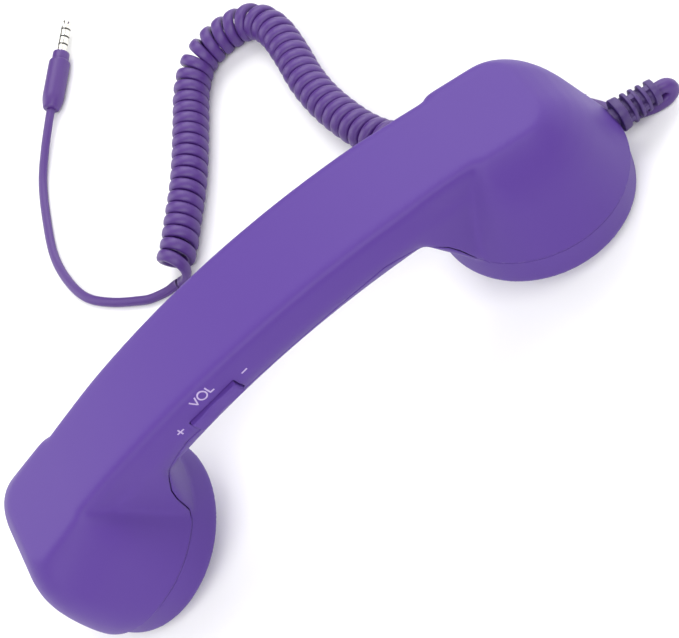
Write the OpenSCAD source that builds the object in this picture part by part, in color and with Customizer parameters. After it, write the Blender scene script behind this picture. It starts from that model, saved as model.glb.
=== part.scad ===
// Telephone handset with two round tilted cups, a curved handle, a side volume rocker,
// a ribbed strain relief and a curly cord that ends in a four-pole 3.5 mm plug.
// It lies face down: the back is on top, +X runs from the ear cup to the mouth cup.

/* [Overall] */
// Length over the two cups
overall_len = 210; // [200:1:224]
// Height of the back above the surface, at the middle
back_h = 61.6; // [59:0.1:66]
// Wall of the two moulded shells
wall = 2.2; // [1.8:0.1:2.6]
// Gap left along the seam between the shells
seam_gap = 0.3; // [0.1:0.05:0.5]

/* [Cups] */
// Diameter of each cup
cup_d = 57.5; // [55:0.5:60]
// Tilt of each cup's face towards the middle
cup_tilt = 12.9; // [10:0.1:15]
// Height of the straight rim band
rim_h = 10.6; // [9.5:0.1:12]
// Distance from the overall end to the crease where the flat over the cup starts
flat_start = 33.2; // [31:0.2:36]
// Distance from the overall end to the end of that flat
flat_end = 12; // [11:0.2:15]
// Corner radius at the end of the flat
flat_corner_r = 8; // [5:0.5:11]
// How far the domed wall bulges beyond straight lines from flat to rim
slope_bulge = 2.5; // [0:0.1:3]
// How much more the mouth cup's wall bulges at its outer end, as a share
end_bulge = 0.25; // [0:0.05:0.5]
// How much more the ear cup's wall bulges at its outer corners, as a share
corner_bulge = 0.7; // [0:0.05:1]
// Bulge low down at the ear cup's outer corners, just above the rim
low_bulge = 3; // [0:0.1:3.5]

/* [Handle] */
// Radius of the back's long curve
back_r = 275; // [250:5:320]
// Width of the flat back at the middle
back_w_mid = 31.2; // [28:0.2:32]
// Width of the flat back at the cups
back_w_end = 29.2; // [26:0.1:30]
// Width over the sides, at the middle
handle_w = 34.6; // [33:0.2:37]
// Width over the sides, where they run into the cups
handle_w_end = 30.8; // [30:0.2:34]
// Distance from the middle where the sides start to narrow
side_turn = 46; // [40:1:50]
// Distance from the middle where they end narrowing
side_end = 60; // [55:1:65]
// Drop from the back to the widest line of the side
side_drop = 8.5; // [7:0.1:10]
// Depth from the widest line to the palm side
palm_depth = 13.5; // [12:0.1:15]
// How much deeper the palm side gets towards the cups
palm_grow = 2.4; // [0:0.1:3]
// Drop from the widest line to the seam between the shells
seam_drop = 4.9; // [4.5:0.1:6]
// Softness of the edge between back and side
edge_soft = 2.2; // [1:0.1:4]
// Half width of the neck where the handle runs into a rim
neck_half = 16.9; // [16:0.1:18]

/* [Caps and capsules] */
// Thickness of the perforated cap in each cup
cap_t = 1.8; // [1.4:0.1:2.4]
// Recess of the cap below the rim's edge
cap_recess = 0.4; // [0.2:0.1:1]
// Thickness of the ledge that the cap lies against
ledge_t = 2; // [1.6:0.1:2.6]
// Inner radius of that ledge
ledge_r = 17; // [16:0.5:18]
// Radius of one sound hole
hole_r = 1.1; // [0.8:0.1:1.3]
// Distance between the rings of sound holes
hole_pitch = 4.4; // [3.8:0.1:4.8]
// Diameter of the receiver capsule
receiver_d = 39; // [36:0.5:40]
// Height of the receiver basket
receiver_h = 7; // [6:0.5:9]
// Diameter of the receiver magnet
magnet_d = 17; // [14:0.5:20]
// Height of the receiver magnet
magnet_h = 4; // [3:0.5:6]
// Diameter of the microphone capsule
mic_d = 9.7; // [8:0.1:11]
// Height of the microphone capsule
mic_h = 5; // [4:0.1:6.5]

/* [Screws] */
// Diameter of a screw's shank
screw_d = 2; // [1.6:0.1:2.4]
// Diameter of a screw's head
screw_head_d = 3.8; // [3.2:0.1:4.2]
// Length of a screw under its head
screw_len = 14; // [12:0.5:15]
// Distance of each screw from the cup's axis
screw_pcr = 23; // [22.4:0.1:23.2]
// Outer diameter of the screw posts
post_d = 5.6; // [5:0.1:6]

/* [Volume rocker] */
// Middle of the rocker along the handle
rocker_x = -21.8; // [-28:0.2:-18]
// Length of the rocker
rocker_len = 16.4; // [14:0.1:19]
// Height of the rocker
rocker_h = 4.6; // [4:0.1:5.2]
// How far the rocker stands out of the side
rocker_proud = 1.1; // [0.6:0.1:1.6]
// Dip in the middle of the rocker's face
rocker_dip = 0.45; // [0:0.05:0.8]
// Clearance round the rocker in its slot
rocker_gap = 0.4; // [0.3:0.05:0.6]
// Radius of the rocker's pivot pins
pivot_r = 0.7; // [0.5:0.05:0.9]
// Running clearance of the pivot in its bracket
pivot_clear = 0.06; // [0.04:0.01:0.1]

/* [Answer button] */
// Middle of the button along the handle
button_x = -30; // [-34:0.5:-24]
// Length of the button
button_len = 13; // [10:0.5:15]
// Width of the button
button_w = 6.4; // [5:0.2:8]
// How far the button stands out of the palm side
button_proud = 1; // [0.8:0.1:1.4]
// Clearance round the button in its slot
button_gap = 0.35; // [0.25:0.05:0.5]

/* [Circuit board] */
// Length of the board
board_len = 46; // [40:1:50]
// Width of the board
board_w = 22; // [18:0.5:23]
// Offset of the board's middle from the rocker's
board_shift = -2; // [-4:0.5:2]
// Thickness of the board
board_t = 1.2; // [1:0.1:1.6]
// Side of a push switch
switch_w = 4.5; // [4:0.1:5]
// Height of a push switch's case
switch_h = 2.5; // [2:0.1:3]

/* [Strain relief] */
// Diameter of the strain relief at the housing
relief_d1 = 9.6; // [8.6:0.1:10.6]
// Diameter of its end collar
relief_d2 = 6.9; // [6:0.1:8]
// Length outside the housing
relief_len = 14; // [12:0.5:16]
// Thickness of one rib
relief_rib = 1.1; // [0.8:0.1:1.3]
// Width of one slot
relief_slot = 1.3; // [1:0.1:1.5]
// Core diameter between the ribs
relief_core = 4.9; // [4.6:0.1:5.2]

/* [Cord and plug] */
// Outer diameter of the curly cord
coil_d = 12.2; // [11:0.2:13]
// Diameter of the cord between handset and coil
tail_d = 3.6; // [3:0.1:4.2]
// Diameter of the straight lead
lead_d = 2.8; // [2.4:0.1:3.2]
// Diameter of the plug's moulded body
plug_d = 7.6; // [7:0.1:8.4]
// Length of the plug's moulded body
plug_len = 21; // [18:0.5:24]
// Diameter of the collar in front of the body
collar_d = 6; // [5.4:0.1:6.6]
// Length of that collar
collar_len = 2; // [1.4:0.1:3]
// Diameter of the plug's pin
pin_d = 3.5; // [3.4:0.1:3.6]
// Length of the plug's pin
pin_len = 14; // [14:0.1:15]
// Direction of the plug on the surface, from +X towards +Y
plug_turn = 53; // [45:1:60]

/* [Hidden] */

purple = [0.36, 0.26, 0.62];
purple_dark = [0.27, 0.18, 0.47];
charcoal = [0.12, 0.12, 0.13];
steel = [0.75, 0.75, 0.77];

cup_r = cup_d / 2;
face_x = overall_len / 2 - cup_r * cos(cup_tilt) - rim_h * sin(cup_tilt);
face_z = cup_r * sin(cup_tilt);
rim_top_x = face_x + rim_h * sin(cup_tilt);
rim_top_z = face_z + rim_h * cos(cup_tilt);
crease_x = overall_len / 2 - flat_start;
flat_x = overall_len / 2 - flat_end;
end_slope = asin(crease_x / back_r);
overlap = 0.01;

// How far inner surfaces stay shy of the ones they join, so that no two faces coincide
shy = 0.06;

// Height of the back over the surface at x: a long arc, then its tangent over each cup
function arc_z(x) = back_h - back_r + sqrt(back_r * back_r - x * x);
function back_z(x) = abs(x) < crease_x ? arc_z(x) : arc_z(crease_x) - (abs(x) - crease_x) * tan(end_slope);
function towards_cup(x) = pow(min(abs(x), crease_x) / crease_x, 2);
function back_half(x) = (back_w_mid + (back_w_end - back_w_mid) * towards_cup(x)) / 2;
function eased(t) = let (u = min(max(t, 0), 1)) u * u * (3 - 2 * u);
function side_half(x) = (handle_w + (handle_w_end - handle_w) * eased((abs(x) - side_turn) / (side_end - side_turn))) / 2;

// Plane of the rim's top edge, which the seam follows round the cup
function rim_plane_z(x) = rim_top_z - (abs(x) - rim_top_x) * tan(cup_tilt);
neck_x = rim_top_x - sqrt(cup_r * cup_r - neck_half * neck_half) * cos(cup_tilt);
seam_mid_z = back_z(0) - side_drop - seam_drop;
seam_pts = [
    [0, seam_mid_z],
    [neck_x - 19, seam_mid_z],
    [neck_x - 15.5, seam_mid_z - 1.3],
    [neck_x - 12.5, seam_mid_z - 2.8],
    [neck_x - 9.5, seam_mid_z - 4.8],
    [neck_x - 6.5, seam_mid_z - 7.8],
    [neck_x - 4, seam_mid_z - 11.6],
    [neck_x - 2.6, seam_mid_z - 16],
    [neck_x - 1.8, seam_mid_z - 21],
    [neck_x - 1.2, seam_mid_z - 24.3],
    [neck_x + 0.5, rim_plane_z(neck_x + 0.5)],
    [overall_len / 2 + 20, rim_plane_z(overall_len / 2 + 20)]
];

// Half outline of the handle from the back's middle to the palm's middle, inset by g,
// with extra depth added on the palm side
function half_section(x, g, deeper) = let (
    w = back_half(x) - g, a = side_half(x) - g, d = side_drop, s = edge_soft,
    b = palm_depth + palm_grow * towards_cup(x) - g + deeper
) [
    [0, -g],
    [w - s, -g],
    for (t = [0.25:0.25:0.75]) [
        w - s * pow(1 - t, 2) + (a - w) * s / d * t * t,
        -g - s * t * t
    ],
    [w + (a - w) * s / d, -g - s],
    for (t = [0:11.25:78.75]) [a * cos(t), -d - b * sin(t)],
    [0, -d - b]
];
function section(x, g = 0, deeper = 0) = let (h = half_section(x, g, deeper), n = len(h)) [
    for (p = h) [p[0], back_z(x) + p[1]],
    for (i = [n - 2:-1:1]) [-h[i][0], back_z(x) + h[i][1]]
];

// Skin over a row of rings that all have the same number of points
module skin(rings) {
    n = len(rings[0]);
    m = len(rings);
    polyhedron(
        points = [for (r = rings) for (p = r) p],
        faces = [
            [for (i = [n - 1:-1:0]) i],
            for (j = [0:m - 2]) for (i = [0:n - 1]) let (k = (i + 1) % n)
                [j * n + i, j * n + k, (j + 1) * n + k, (j + 1) * n + i],
            [for (i = [0:n - 1]) (m - 1) * n + i]
        ],
        convexity = 6
    );
}

// Puts its children on a cup: origin at the face's centre, +Z into the cup, +X outwards
module on_cup(side) {
    mirror([side < 0 ? 1 : 0, 0, 0]) translate([face_x, 0, face_z]) rotate([0, cup_tilt, 0]) children();
}

// Outline of the flat over a cup where its normal points along angle a, inset by g
flat_len = (flat_x - crease_x) / cos(end_slope);
function flat_point(a, g) = let (
    half = back_w_end / 2 - g,
    r = cos(a) > 0 ? max(flat_corner_r - g, 1) : 0,
    p = [cos(a) > 0 ? flat_len - g - r + r * cos(a) : 0, sign(sin(a)) * (half - r) + r * sin(a)]
) [crease_x + p[0] * cos(end_slope), p[1], back_z(crease_x) - g - p[0] * sin(end_slope)];
function rim_point(a, r, lift) = [
    rim_top_x + r * cos(a) * cos(cup_tilt) + lift * sin(cup_tilt), r * sin(a),
    rim_top_z - r * cos(a) * sin(cup_tilt) + lift * cos(cup_tilt)
];

// Bulge of the domed wall at share t of the way up, where its normal points along angle a
function hump(u) = 4 * u * (1 - u);
function corner(a, n) = max(cos(a), 0) * pow(abs(sin(a)), n);
function bulge(t, a, side) = side > 0
    ? slope_bulge * hump(pow(t, 1.5)) * (1 + end_bulge * max(cos(a), 0))
    : slope_bulge * hump(pow(t, 1.5)) * (1 + corner_bulge * 2 * corner(a, 1))
        + low_bulge * hump(pow(t, 0.4)) * 3.08 * corner(a, 3);

// Domed shell over a cup: straight lines from the flat to the rim, bulged outwards
module dome(g, side) {
    levels = [0, 0.1, 0.25, 0.5, 0.75, 1];
    turn = 6;
    r = cup_r - g - shy;
    hull() {
        skin([for (lift = [-0.3, 0.1]) [for (a = [0:turn:359]) rim_point(a, r, lift)]]);
        skin([
            for (t = levels) [
                for (a = [0:turn:359])
                    (1 - t) * rim_point(a, r, 0.1) + t * flat_point(a, g) + bulge(t, a, side) * [cos(a), sin(a), 0.45]
            ]
        ]);
    }
}

// Neck where the palm side turns down into the rim, inset by g
neck_start = neck_x - 8.3;
module neck(g) {
    module slice(x) {
        translate([x, 0, 0]) rotate([90, 0, 90]) linear_extrude(0.2)
            polygon([for (p = section(x, g + shy)) if (p[1] < back_z(x) - side_drop + overlap) p]);
    }
    hull() {
        on_cup(1) intersection() {
            translate([0, 0, rim_h - 0.5]) cylinder(r = cup_r - g - shy, h = 0.4, $fn = 60);
            translate([-cup_r - 1, g - neck_half, 0]) cube([12, 2 * (neck_half - g), rim_h + 1]);
        }
        slice(neck_start);
        slice(crease_x - 2);
    }
}

// Whole outer body, or its hollow when inset by g
module body(g) {
    steps = 18;
    xs = concat([-crease_x - 3], [for (i = [0:steps]) crease_x * (2 * i / steps - 1)], [crease_x + 3]);
    skin([for (x = xs) [for (p = section(x, abs(x) > crease_x + overlap ? g + 0.3 : g)) [x, p[0], p[1]]]]);
    for (side = [-1, 1]) mirror([side < 0 ? 1 : 0, 0, 0]) {
        dome(g, side);
        neck(g);
    }
}

module rims(r, z0, z1) {
    for (side = [-1, 1]) on_cup(side) translate([0, 0, z0]) cylinder(r = r, h = z1 - z0, $fn = 60);
}

// Everything below the seam, raised by lift
module below_seam(lift) {
    n = len(seam_pts);
    rotate([90, 0, 0]) translate([0, 0, -cup_d]) linear_extrude(2 * cup_d) polygon(concat(
        [for (p = seam_pts) [p[0], p[1] + lift]],
        [[overall_len, -cup_d], [-overall_len, -cup_d]],
        [for (i = [n - 1:-1:1]) [-seam_pts[i][0], seam_pts[i][1] + lift]]
    ));
}

// Frame at the rocker: origin at its pivot, +X along the handle, -Y outwards
rocker_z = back_z(rocker_x) - side_drop - 0.7;
rocker_slope = asin(-rocker_x / back_r);
pivot_y = handle_w / 2 - wall - 2.5;
module on_rocker() {
    translate([rocker_x, -pivot_y, rocker_z]) rotate([0, -rocker_slope, 0]) children();
}

ear_t = 1.2;
ear_z = rocker_h / 2 + 0.2;

// Board frame: origin at the middle of its upper face, in line with the back's curve
board_drop = ear_z + ear_t;
board_x = rocker_x + board_shift;
board_z = rocker_z - board_drop;
module on_board() {
    translate([rocker_x, 0, rocker_z]) rotate([0, -rocker_slope, 0]) translate([board_shift, 0, -board_drop]) children();
}

// Back face of the rocker from its pivot, and the free gap to the switches behind it
rocker_back = 1;
rocker_press = 0.6;

// Seat of the answer button's flange over the palm surface, and its gap to the switch
button_seat = wall + 0.75;
button_flange = 1;
button_press = 0.9;

// Answer button frame: origin on the palm surface, +Z into the handle
palm_z = back_z(button_x) - side_drop - palm_depth - palm_grow * towards_cup(button_x);
module on_button() {
    translate([button_x, 0, palm_z]) rotate([0, -asin(-button_x / back_r), 0]) children();
}

module oblong(l, w, h) {
    hull() for (s = [-1, 1]) translate([s * (l - w) / 2, 0, 0]) cylinder(d = w, h = h, $fn = 24);
}

ledge_z = cap_recess + cap_t;
post_z = ledge_z + ledge_t;
post_top = rim_h + 1.5;
head_h = 1.8;
head_seat = ledge_z + 2;
relief_z = rim_h;
relief_hole = relief_core + 0.6;

module screw_spots() {
    for (a = [-1, 1]) rotate([0, 0, 90 * a]) translate([screw_pcr, 0, 0]) children();
}

// Way of the strain relief's neck through the wall of the mouth cup
module relief_way(r) {
    on_cup(1) translate([cup_r - wall - 3, 0, relief_z]) rotate([0, 90, 0]) rotate(7.5)
        cylinder(r = r, h = wall + 8, $fn = 24);
}

module back_shell() {
    color(purple) difference() {
        union() {
            difference() {
                body(0);
                body(wall);
            }
            intersection() {
                body(1);
                for (side = [-1, 1]) on_cup(side) screw_spots()
                    translate([0, 0, post_top]) cylinder(d = post_d, h = 60, $fn = 20);
            }
        }
        below_seam(seam_gap);
        for (side = [-1, 1]) on_cup(side) screw_spots()
            translate([0, 0, post_top - 1]) cylinder(d = screw_d - 0.3, h = post_z + screw_len - post_top + 1.5, $fn = 16);
        relief_way(relief_hole / 2);
        on_rocker() translate([-rocker_len / 2 - rocker_gap, -10, -rocker_h / 2 - rocker_gap])
            cube([rocker_len + 2 * rocker_gap, 10, rocker_h + 2 * rocker_gap]);
    }
}

module front_shell() {
    color(purple) difference() {
        union() {
            difference() {
                intersection() {
                    union() {
                        body(0);
                        rims(cup_r, 0, rim_h + 0.2);
                    }
                    below_seam(0);
                }
                body(wall);
                rims(cup_r - wall, -1, rim_h + 1);
            }
            rims(cup_r - wall + 0.3, ledge_z, post_z);
            for (side = [-1, 1]) on_cup(side) screw_spots()
                translate([0, 0, ledge_z + 1]) cylinder(d = post_d, h = post_top - ledge_z - 1 - seam_gap, $fn = 20);
            intersection() {
                body(1);
                on_board() for (s = [-1, 1]) translate([s * (board_len / 2 - 4), 0, -board_t - 40])
                    cylinder(d = 4, h = 40, $fn = 16);
            }
        }
        rims(ledge_r, ledge_z - 1, post_z + 1);
        for (side = [-1, 1]) on_cup(side) screw_spots() {
            cylinder(d = screw_d + 0.4, h = rim_h + 6, $fn = 16);
            cylinder(d = screw_head_d + 0.4, h = head_seat, $fn = 20);
        }
        relief_way(relief_hole / 2);
        on_button() translate([0, 0, -4]) oblong(button_len + 2 * button_gap, button_w + 2 * button_gap, 4 + wall + 2);
    }
}

module cap(rings) {
    difference() {
        translate([0, 0, cap_recess]) cylinder(r = cup_r - wall - 0.15, h = cap_t, $fn = 72);
        if (rings > 0) cylinder(r = hole_r, h = cap_recess + cap_t + 1, $fn = 16);
        for (k = [1:rings]) for (i = [0:6 * k - 1]) rotate([0, 0, i * 60 / k]) translate([k * hole_pitch, 0, 0])
            cylinder(r = hole_r, h = cap_recess + cap_t + 1, $fn = 16);
    }
}

module ear_cap() {
    color(purple) on_cup(-1) cap(3);
}

module mouth_cap() {
    color(purple) on_cup(1) cap(1);
}

gasket_h = 1;
module receiver_gasket() {
    color(charcoal) on_cup(-1) translate([0, 0, post_z]) difference() {
        cylinder(r = receiver_d / 2, h = gasket_h, $fn = 48);
        translate([0, 0, -1]) cylinder(r = ledge_r, h = gasket_h + 2, $fn = 48);
    }
}

basket_z = post_z + gasket_h;
module receiver_basket() {
    rim_r = receiver_d / 2;
    seat_r = magnet_d / 2 + 1.5;
    color(charcoal) on_cup(-1) translate([0, 0, basket_z]) difference() {
        rotate_extrude($fn = 72) polygon([
            [rim_r - 1.5, 0], [rim_r, 0], [rim_r, 2], [rim_r - 1.5, 2],
            [seat_r + 1, receiver_h], [0, receiver_h], [0, receiver_h - 1.2], [seat_r, receiver_h - 1.2],
            [rim_r - 3, 1.2], [rim_r - 1.5, 1.2]
        ]);
        for (a = [0:60:300]) rotate([0, 0, a]) translate([(rim_r + seat_r) / 2 - 1, 0, 0])
            cylinder(r = 2.2, h = receiver_h + 1, $fn = 20);
    }
}

module receiver_diaphragm() {
    r = receiver_d / 2 - 1.6;
    color([0.3, 0.28, 0.25]) on_cup(-1) translate([0, 0, basket_z]) rotate_extrude($fn = 72) polygon([
        [0, 2.4], [6, 1.2], [r - 3, 0], [r, 0.5], [r, 1.1], [r - 3, 0.5], [6, 1.7], [0, 2.9]
    ]);
}

module receiver_magnet() {
    color(steel) on_cup(-1) translate([0, 0, basket_z + receiver_h]) cylinder(d = magnet_d, h = magnet_h, $fn = 48);
}

module microphone_boot() {
    color(charcoal) on_cup(1) translate([0, 0, ledge_z]) difference() {
        cylinder(d = mic_d + 3, h = mic_h + 1, $fn = 32);
        translate([0, 0, 1]) cylinder(d = mic_d, h = mic_h + 1, $fn = 32);
        translate([0, 0, -1]) cylinder(r = hole_r, h = 3, $fn = 16);
    }
}

module microphone_capsule() {
    color(steel) on_cup(1) translate([0, 0, ledge_z + 1]) difference() {
        cylinder(d = mic_d, h = mic_h, $fn = 32);
        translate([0, 0, -0.5]) cylinder(d = mic_d / 4, h = 1, $fn = 16);
    }
}

module circuit_board() {
    color([0.1, 0.35, 0.2]) on_board() difference() {
        translate([-board_len / 2, -board_w / 2, -board_t]) cube([board_len, board_w, board_t]);
        for (s = [-1, 1]) translate([s * (board_len / 2 - 1.5), board_w / 2 - 3, -board_t - 1])
            cylinder(r = 0.8, h = board_t + 2, $fn = 16);
    }
}

module controller_chip() {
    color(charcoal) on_board() translate([8, 1, 0]) {
        translate([-3.5, -3.5, 0.2]) cube([7, 7, 1.1]);
        for (s = [-1, 1]) for (i = [-2:2]) translate([i * 1.3 - 0.2, s * 3.9 - 0.6, 0]) cube([0.4, 1.2, 0.2 + overlap]);
    }
}

function board_local_x(x) = (x - board_x) / cos(rocker_slope);

module volume_switches() {
    edge_y = board_w / 2 + 0.5;
    rocker_back_y = pivot_y + rocker_back;
    color(charcoal) on_board() for (s = [-1, 1])
        translate([s * (rocker_len / 2 - 3) - board_shift, 0, 0]) {
            translate([-switch_w / 2, -edge_y, 0]) cube([switch_w, switch_h, switch_w - 1]);
            translate([0, -edge_y, (switch_w - 1) / 2]) rotate([90, 0, 0])
                cylinder(r = 1, h = rocker_back_y - rocker_press - edge_y, $fn = 20);
        }
}

module answer_switch() {
    reach = board_z - board_t + (button_x - board_x) * tan(rocker_slope)
        - (palm_z + button_seat + button_flange) - button_press - switch_h;
    color(charcoal) on_board() translate([board_local_x(button_x), 0, -board_t]) {
        translate([-switch_w / 2, -switch_w / 2, -switch_h]) cube([switch_w, switch_w, switch_h]);
        translate([0, 0, -switch_h - reach]) cylinder(r = 1.2, h = reach + overlap, $fn = 20);
    }
}

// Bracket behind the slot that holds the rocker's pivot pins
module rocker_bracket() {
    back_y = pivot_r + 0.9;
    color(purple_dark) on_rocker() difference() {
        union() {
            for (s = [-1, 1]) translate([-2, -1, s > 0 ? ear_z : -ear_z - ear_t])
                cube([4, back_y + 1, ear_t]);
            translate([-2, back_y - 0.01, -ear_z - ear_t]) cube([4, 0.8, 2 * (ear_z + ear_t)]);
        }
        translate([0, 0, -ear_z - ear_t - 1]) cylinder(r = pivot_r + pivot_clear, h = 2 * (ear_z + ear_t + 1), $fn = 24);
    }
}

module volume_rocker() {
    out = handle_w / 2 - pivot_y + rocker_proud;
    half = rocker_len / 2;
    color(purple) on_rocker() {
        translate([0, 0, -rocker_h / 2]) linear_extrude(rocker_h) polygon([
                [-half, -rocker_back], [-half, -out + 0.8], [-half + 0.8, -out], [-half * 0.45, -out + 0.1],
                [0, -out + rocker_dip],
                [half * 0.45, -out + 0.1], [half - 0.8, -out], [half, -out + 0.8], [half, -rocker_back],
                [1.6, -0.6], [1.2, 0.9], [-1.2, 0.9], [-1.6, -0.6]
        ]);
        translate([0, 0, -ear_z - ear_t]) cylinder(r = pivot_r, h = 2 * (ear_z + ear_t), $fn = 24);
    }
}

module answer_button() {
    color(purple) on_button() {
        translate([0, 0, -button_proud]) oblong(button_len, button_w, button_proud + button_seat + overlap);
        translate([0, 0, button_seat]) oblong(button_len + 1.6, button_w + 1.6, button_flange);
    }
}

module housing_screws() {
    recess = 0.8;
    color(steel) for (side = [-1, 1]) on_cup(side) screw_spots() {
        translate([0, 0, head_seat - head_h / 2]) cylinder(d = screw_d, h = screw_len + head_h / 2, $fn = 24);
        translate([0, 0, head_seat - head_h]) difference() {
            cylinder(d = screw_head_d, h = head_h, $fn = 24);
            for (a = [0, 90]) rotate(a) translate([-1.2, -0.25, -1]) cube([2.4, 0.5, recess + 1]);
        }
    }
}

// Sweep of a round or flat-oval section along points
function unit(v) = v / norm(v);
function along(p) = [
    for (i = [0:len(p) - 1]) unit(p[min(i + 1, len(p) - 1)] - p[max(i - 1, 0)])
];
function carried(t, n, i = 0, out = []) = i == len(t) ? out
    : let (m = unit(n - (n * t[i]) * t[i])) carried(t, m, i + 1, concat(out, [m]));
function catmull(a, b, c, d, t) = 0.5 * (2 * b + (c - a) * t + (2 * a - 5 * b + 4 * c - d) * t * t
    + (3 * b - a - 3 * c + d) * t * t * t);
function smooth(p, n) = concat([
    for (i = [0:len(p) - 2]) for (k = [0:n - 1])
        catmull(p[max(i - 1, 0)], p[i], p[i + 1], p[min(i + 2, len(p) - 1)], k / n)
], [p[len(p) - 1]]);
module tube(p, d, sides) {
    t = along(p);
    n = carried(t, abs(t[0][2]) > 0.9 ? [0, 1, 0] : [0, 0, 1]);
    skin([
        for (i = [0:len(p) - 1]) let (b = cross(t[i], n[i]))
            [for (k = [0:sides - 1]) p[i] + d / 2 * (cos((k + 0.5) * 360 / sides) * n[i]
                + sin((k + 0.5) * 360 / sides) * b)]
    ]);
}

// Thin leads inside the housing, laid from under the board to the two capsules
inner_lead_d = 1.4;
function under_board(x, y) = [x, y, board_z + (x - board_x) * tan(rocker_slope) - board_t - inner_lead_d / 2 - 0.05];
function under_back(x, y, drop) = [x, y, back_z(x) - drop];
function cup_spot(side, x, y, z) = [
    side * (face_x + x * cos(cup_tilt) + z * sin(cup_tilt)), y,
    face_z - x * sin(cup_tilt) + z * cos(cup_tilt)
];

module receiver_lead() {
    basket_top = basket_z + receiver_h;
    color(charcoal) tube(smooth([
        under_board(board_x - board_len / 2 + 1, 6), under_back(-neck_x + 2.3, 6, 15.6), under_back(-neck_x - 3.7, 5, 19.4),
        cup_spot(-1, -magnet_d / 2 - 6.9, 3, basket_top + 7.4), cup_spot(-1, -magnet_d / 2 - 3.3, 0, basket_top + 0.9)
    ], 2), inner_lead_d, 8);
}

module microphone_lead() {
    capsule_top = ledge_z + 1 + mic_h;
    color(charcoal) tube(smooth([
        under_board(board_x + board_len / 2 - 1, 6), under_back(20, 5, 12.9), under_back(neck_x - 9.3, 4, 13.9),
        under_back(neck_x + 5.7, 3, 19), cup_spot(1, -8.9, 1, capsule_top + 9.8), cup_spot(1, -0.2, 0, capsule_top + 1.1)
    ], 2), inner_lead_d, 8);
}

module strain_relief() {
    pitch = relief_rib + relief_slot;
    base_t = relief_len - 4 * relief_slot - 3 * relief_rib - 2;
    function ring_d(s) = relief_d1 + (relief_d2 - relief_d1) * s / relief_len;
    module ring(s, t) {
        translate([0, 0, s]) cylinder(d1 = ring_d(s), d2 = ring_d(s + t), h = t, $fn = 32);
    }
    color(purple_dark) on_cup(1) translate([cup_r, 0, relief_z]) rotate([0, 90, 0]) difference() {
        union() {
            translate([0, 0, 0.8]) ring(0, base_t - 0.8);
            for (i = [0:2]) ring(base_t + relief_slot + i * pitch, relief_rib);
            ring(relief_len - 2, 2);
            for (i = [0:3]) translate([0, 0, base_t + i * pitch - 0.1]) rotate([0, 0, 90 * (i % 2)])
                translate([-ring_d(base_t + i * pitch) / 2 + 0.4, -0.9, 0])
                    cube([ring_d(base_t + i * pitch) - 0.8, 1.8, relief_slot + 0.2]);
            translate([0, 0, -wall - 1]) cylinder(d = relief_core, h = wall + relief_len, $fn = 32);
            translate([0, 0, -wall - 1.5]) cylinder(d = relief_d1 - 1, h = 1.3, $fn = 32);
        }
        translate([0, 0, -wall - 3]) cylinder(d = tail_d, h = wall + relief_len + 4, $fn = 24);
    }
}

relief_end = [
    face_x + (cup_r + relief_len) * cos(cup_tilt) + relief_z * sin(cup_tilt),
    0,
    face_z - (cup_r + relief_len) * sin(cup_tilt) + relief_z * cos(cup_tilt)
];
relief_dir = [cos(cup_tilt), 0, -sin(cup_tilt)];

// Hand-laid routes on the surface, in round numbers
tail_route = [
    [121.5, -0.5, 7.2], [123, -1, 4.9], [121.5, -1, 2.5], [118, -0.5, 1.8], [112, 2, 1.8],
    [107, 7, 1.8], [104, 13, 1.8], [100.5, 19.5, 2], [96, 26, 3], [92, 30.5, 5], [88, 33.5, 6.1]
];
coil_route = [
    [88, 33.5], [80, 38.5], [70, 42], [60, 45.5], [52.5, 52], [48, 61], [45, 72], [43, 84], [42.5, 96], [43.5, 109],
    [43.5, 122], [40.5, 131.5], [34, 136], [25, 137.5], [17, 135.5], [10, 128.5], [4, 118], [-3, 105.5],
    [-9, 96], [-15.5, 87.5], [-22, 79], [-27, 74]
];
lead_route = [
    [-27, 74, 1.5], [-30, 71.5, 1.4], [-34.5, 72.5, 1.4], [-43, 78.5, 1.4], [-52, 85.5, 1.4], [-59, 95, 1.4],
    [-62, 107, 1.4], [-62, 120.5, 1.4], [-58, 136.5, 1.4], [-53, 150, 1.6], [-46.5, 160, 2.6]
];
plug_base = [-36.5, 172.5, plug_d / 2];

module cord_tail() {
    inner_end = relief_end - (relief_len + wall + 6) * relief_dir;
    color(purple_dark) tube(concat(
        [inner_end, relief_end - relief_len * relief_dir, relief_end, relief_end + 1 * relief_dir],
        smooth(tail_route, 2)
    ), tail_d - 0.02, 8);
}

module curly_cord() {
    color(purple) tube(smooth([for (p = coil_route) [p[0], p[1], coil_d / 2]], 2), coil_d, 12);
}

module on_plug() {
    translate(plug_base) rotate([0, 0, plug_turn]) rotate([0, 90, 0]) children();
}

module cord_lead() {
    dir = [cos(plug_turn), sin(plug_turn), 0];
    color(purple_dark) tube(concat(smooth(lead_route, 2), [plug_base - 4 * dir, plug_base]), lead_d, 8);
}

// The pin is thinner inside the collar, up to a hair past its face
pin_neck_d = pin_d - 1;
pin_shoulder = 0.1;

module plug_body() {
    r = plug_d / 2;
    color(purple_dark) on_plug() rotate_extrude($fn = 48) polygon([
        [0, 0], [lead_d / 2 + 0.5, 0], [r - 0.9, 2.5], [r - 0.2, 6], [r, 9],
        [r, plug_len - 1], [r - 0.8, plug_len], [0, plug_len]
    ]);
}

module plug_collar() {
    color(purple_dark) on_plug() translate([0, 0, plug_len]) difference() {
        cylinder(d = collar_d, h = collar_len, $fn = 48);
        translate([0, 0, -1]) cylinder(d = pin_neck_d, h = collar_len + 2, $fn = 48);
    }
}

// Contacts along the pin, from the collar to the tip
pin_z = plug_len + collar_len;
ring_len = 2.4;
band = 0.7;
sleeve_len = pin_len - 4.2 - 2 * ring_len - 3 * band;

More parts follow.
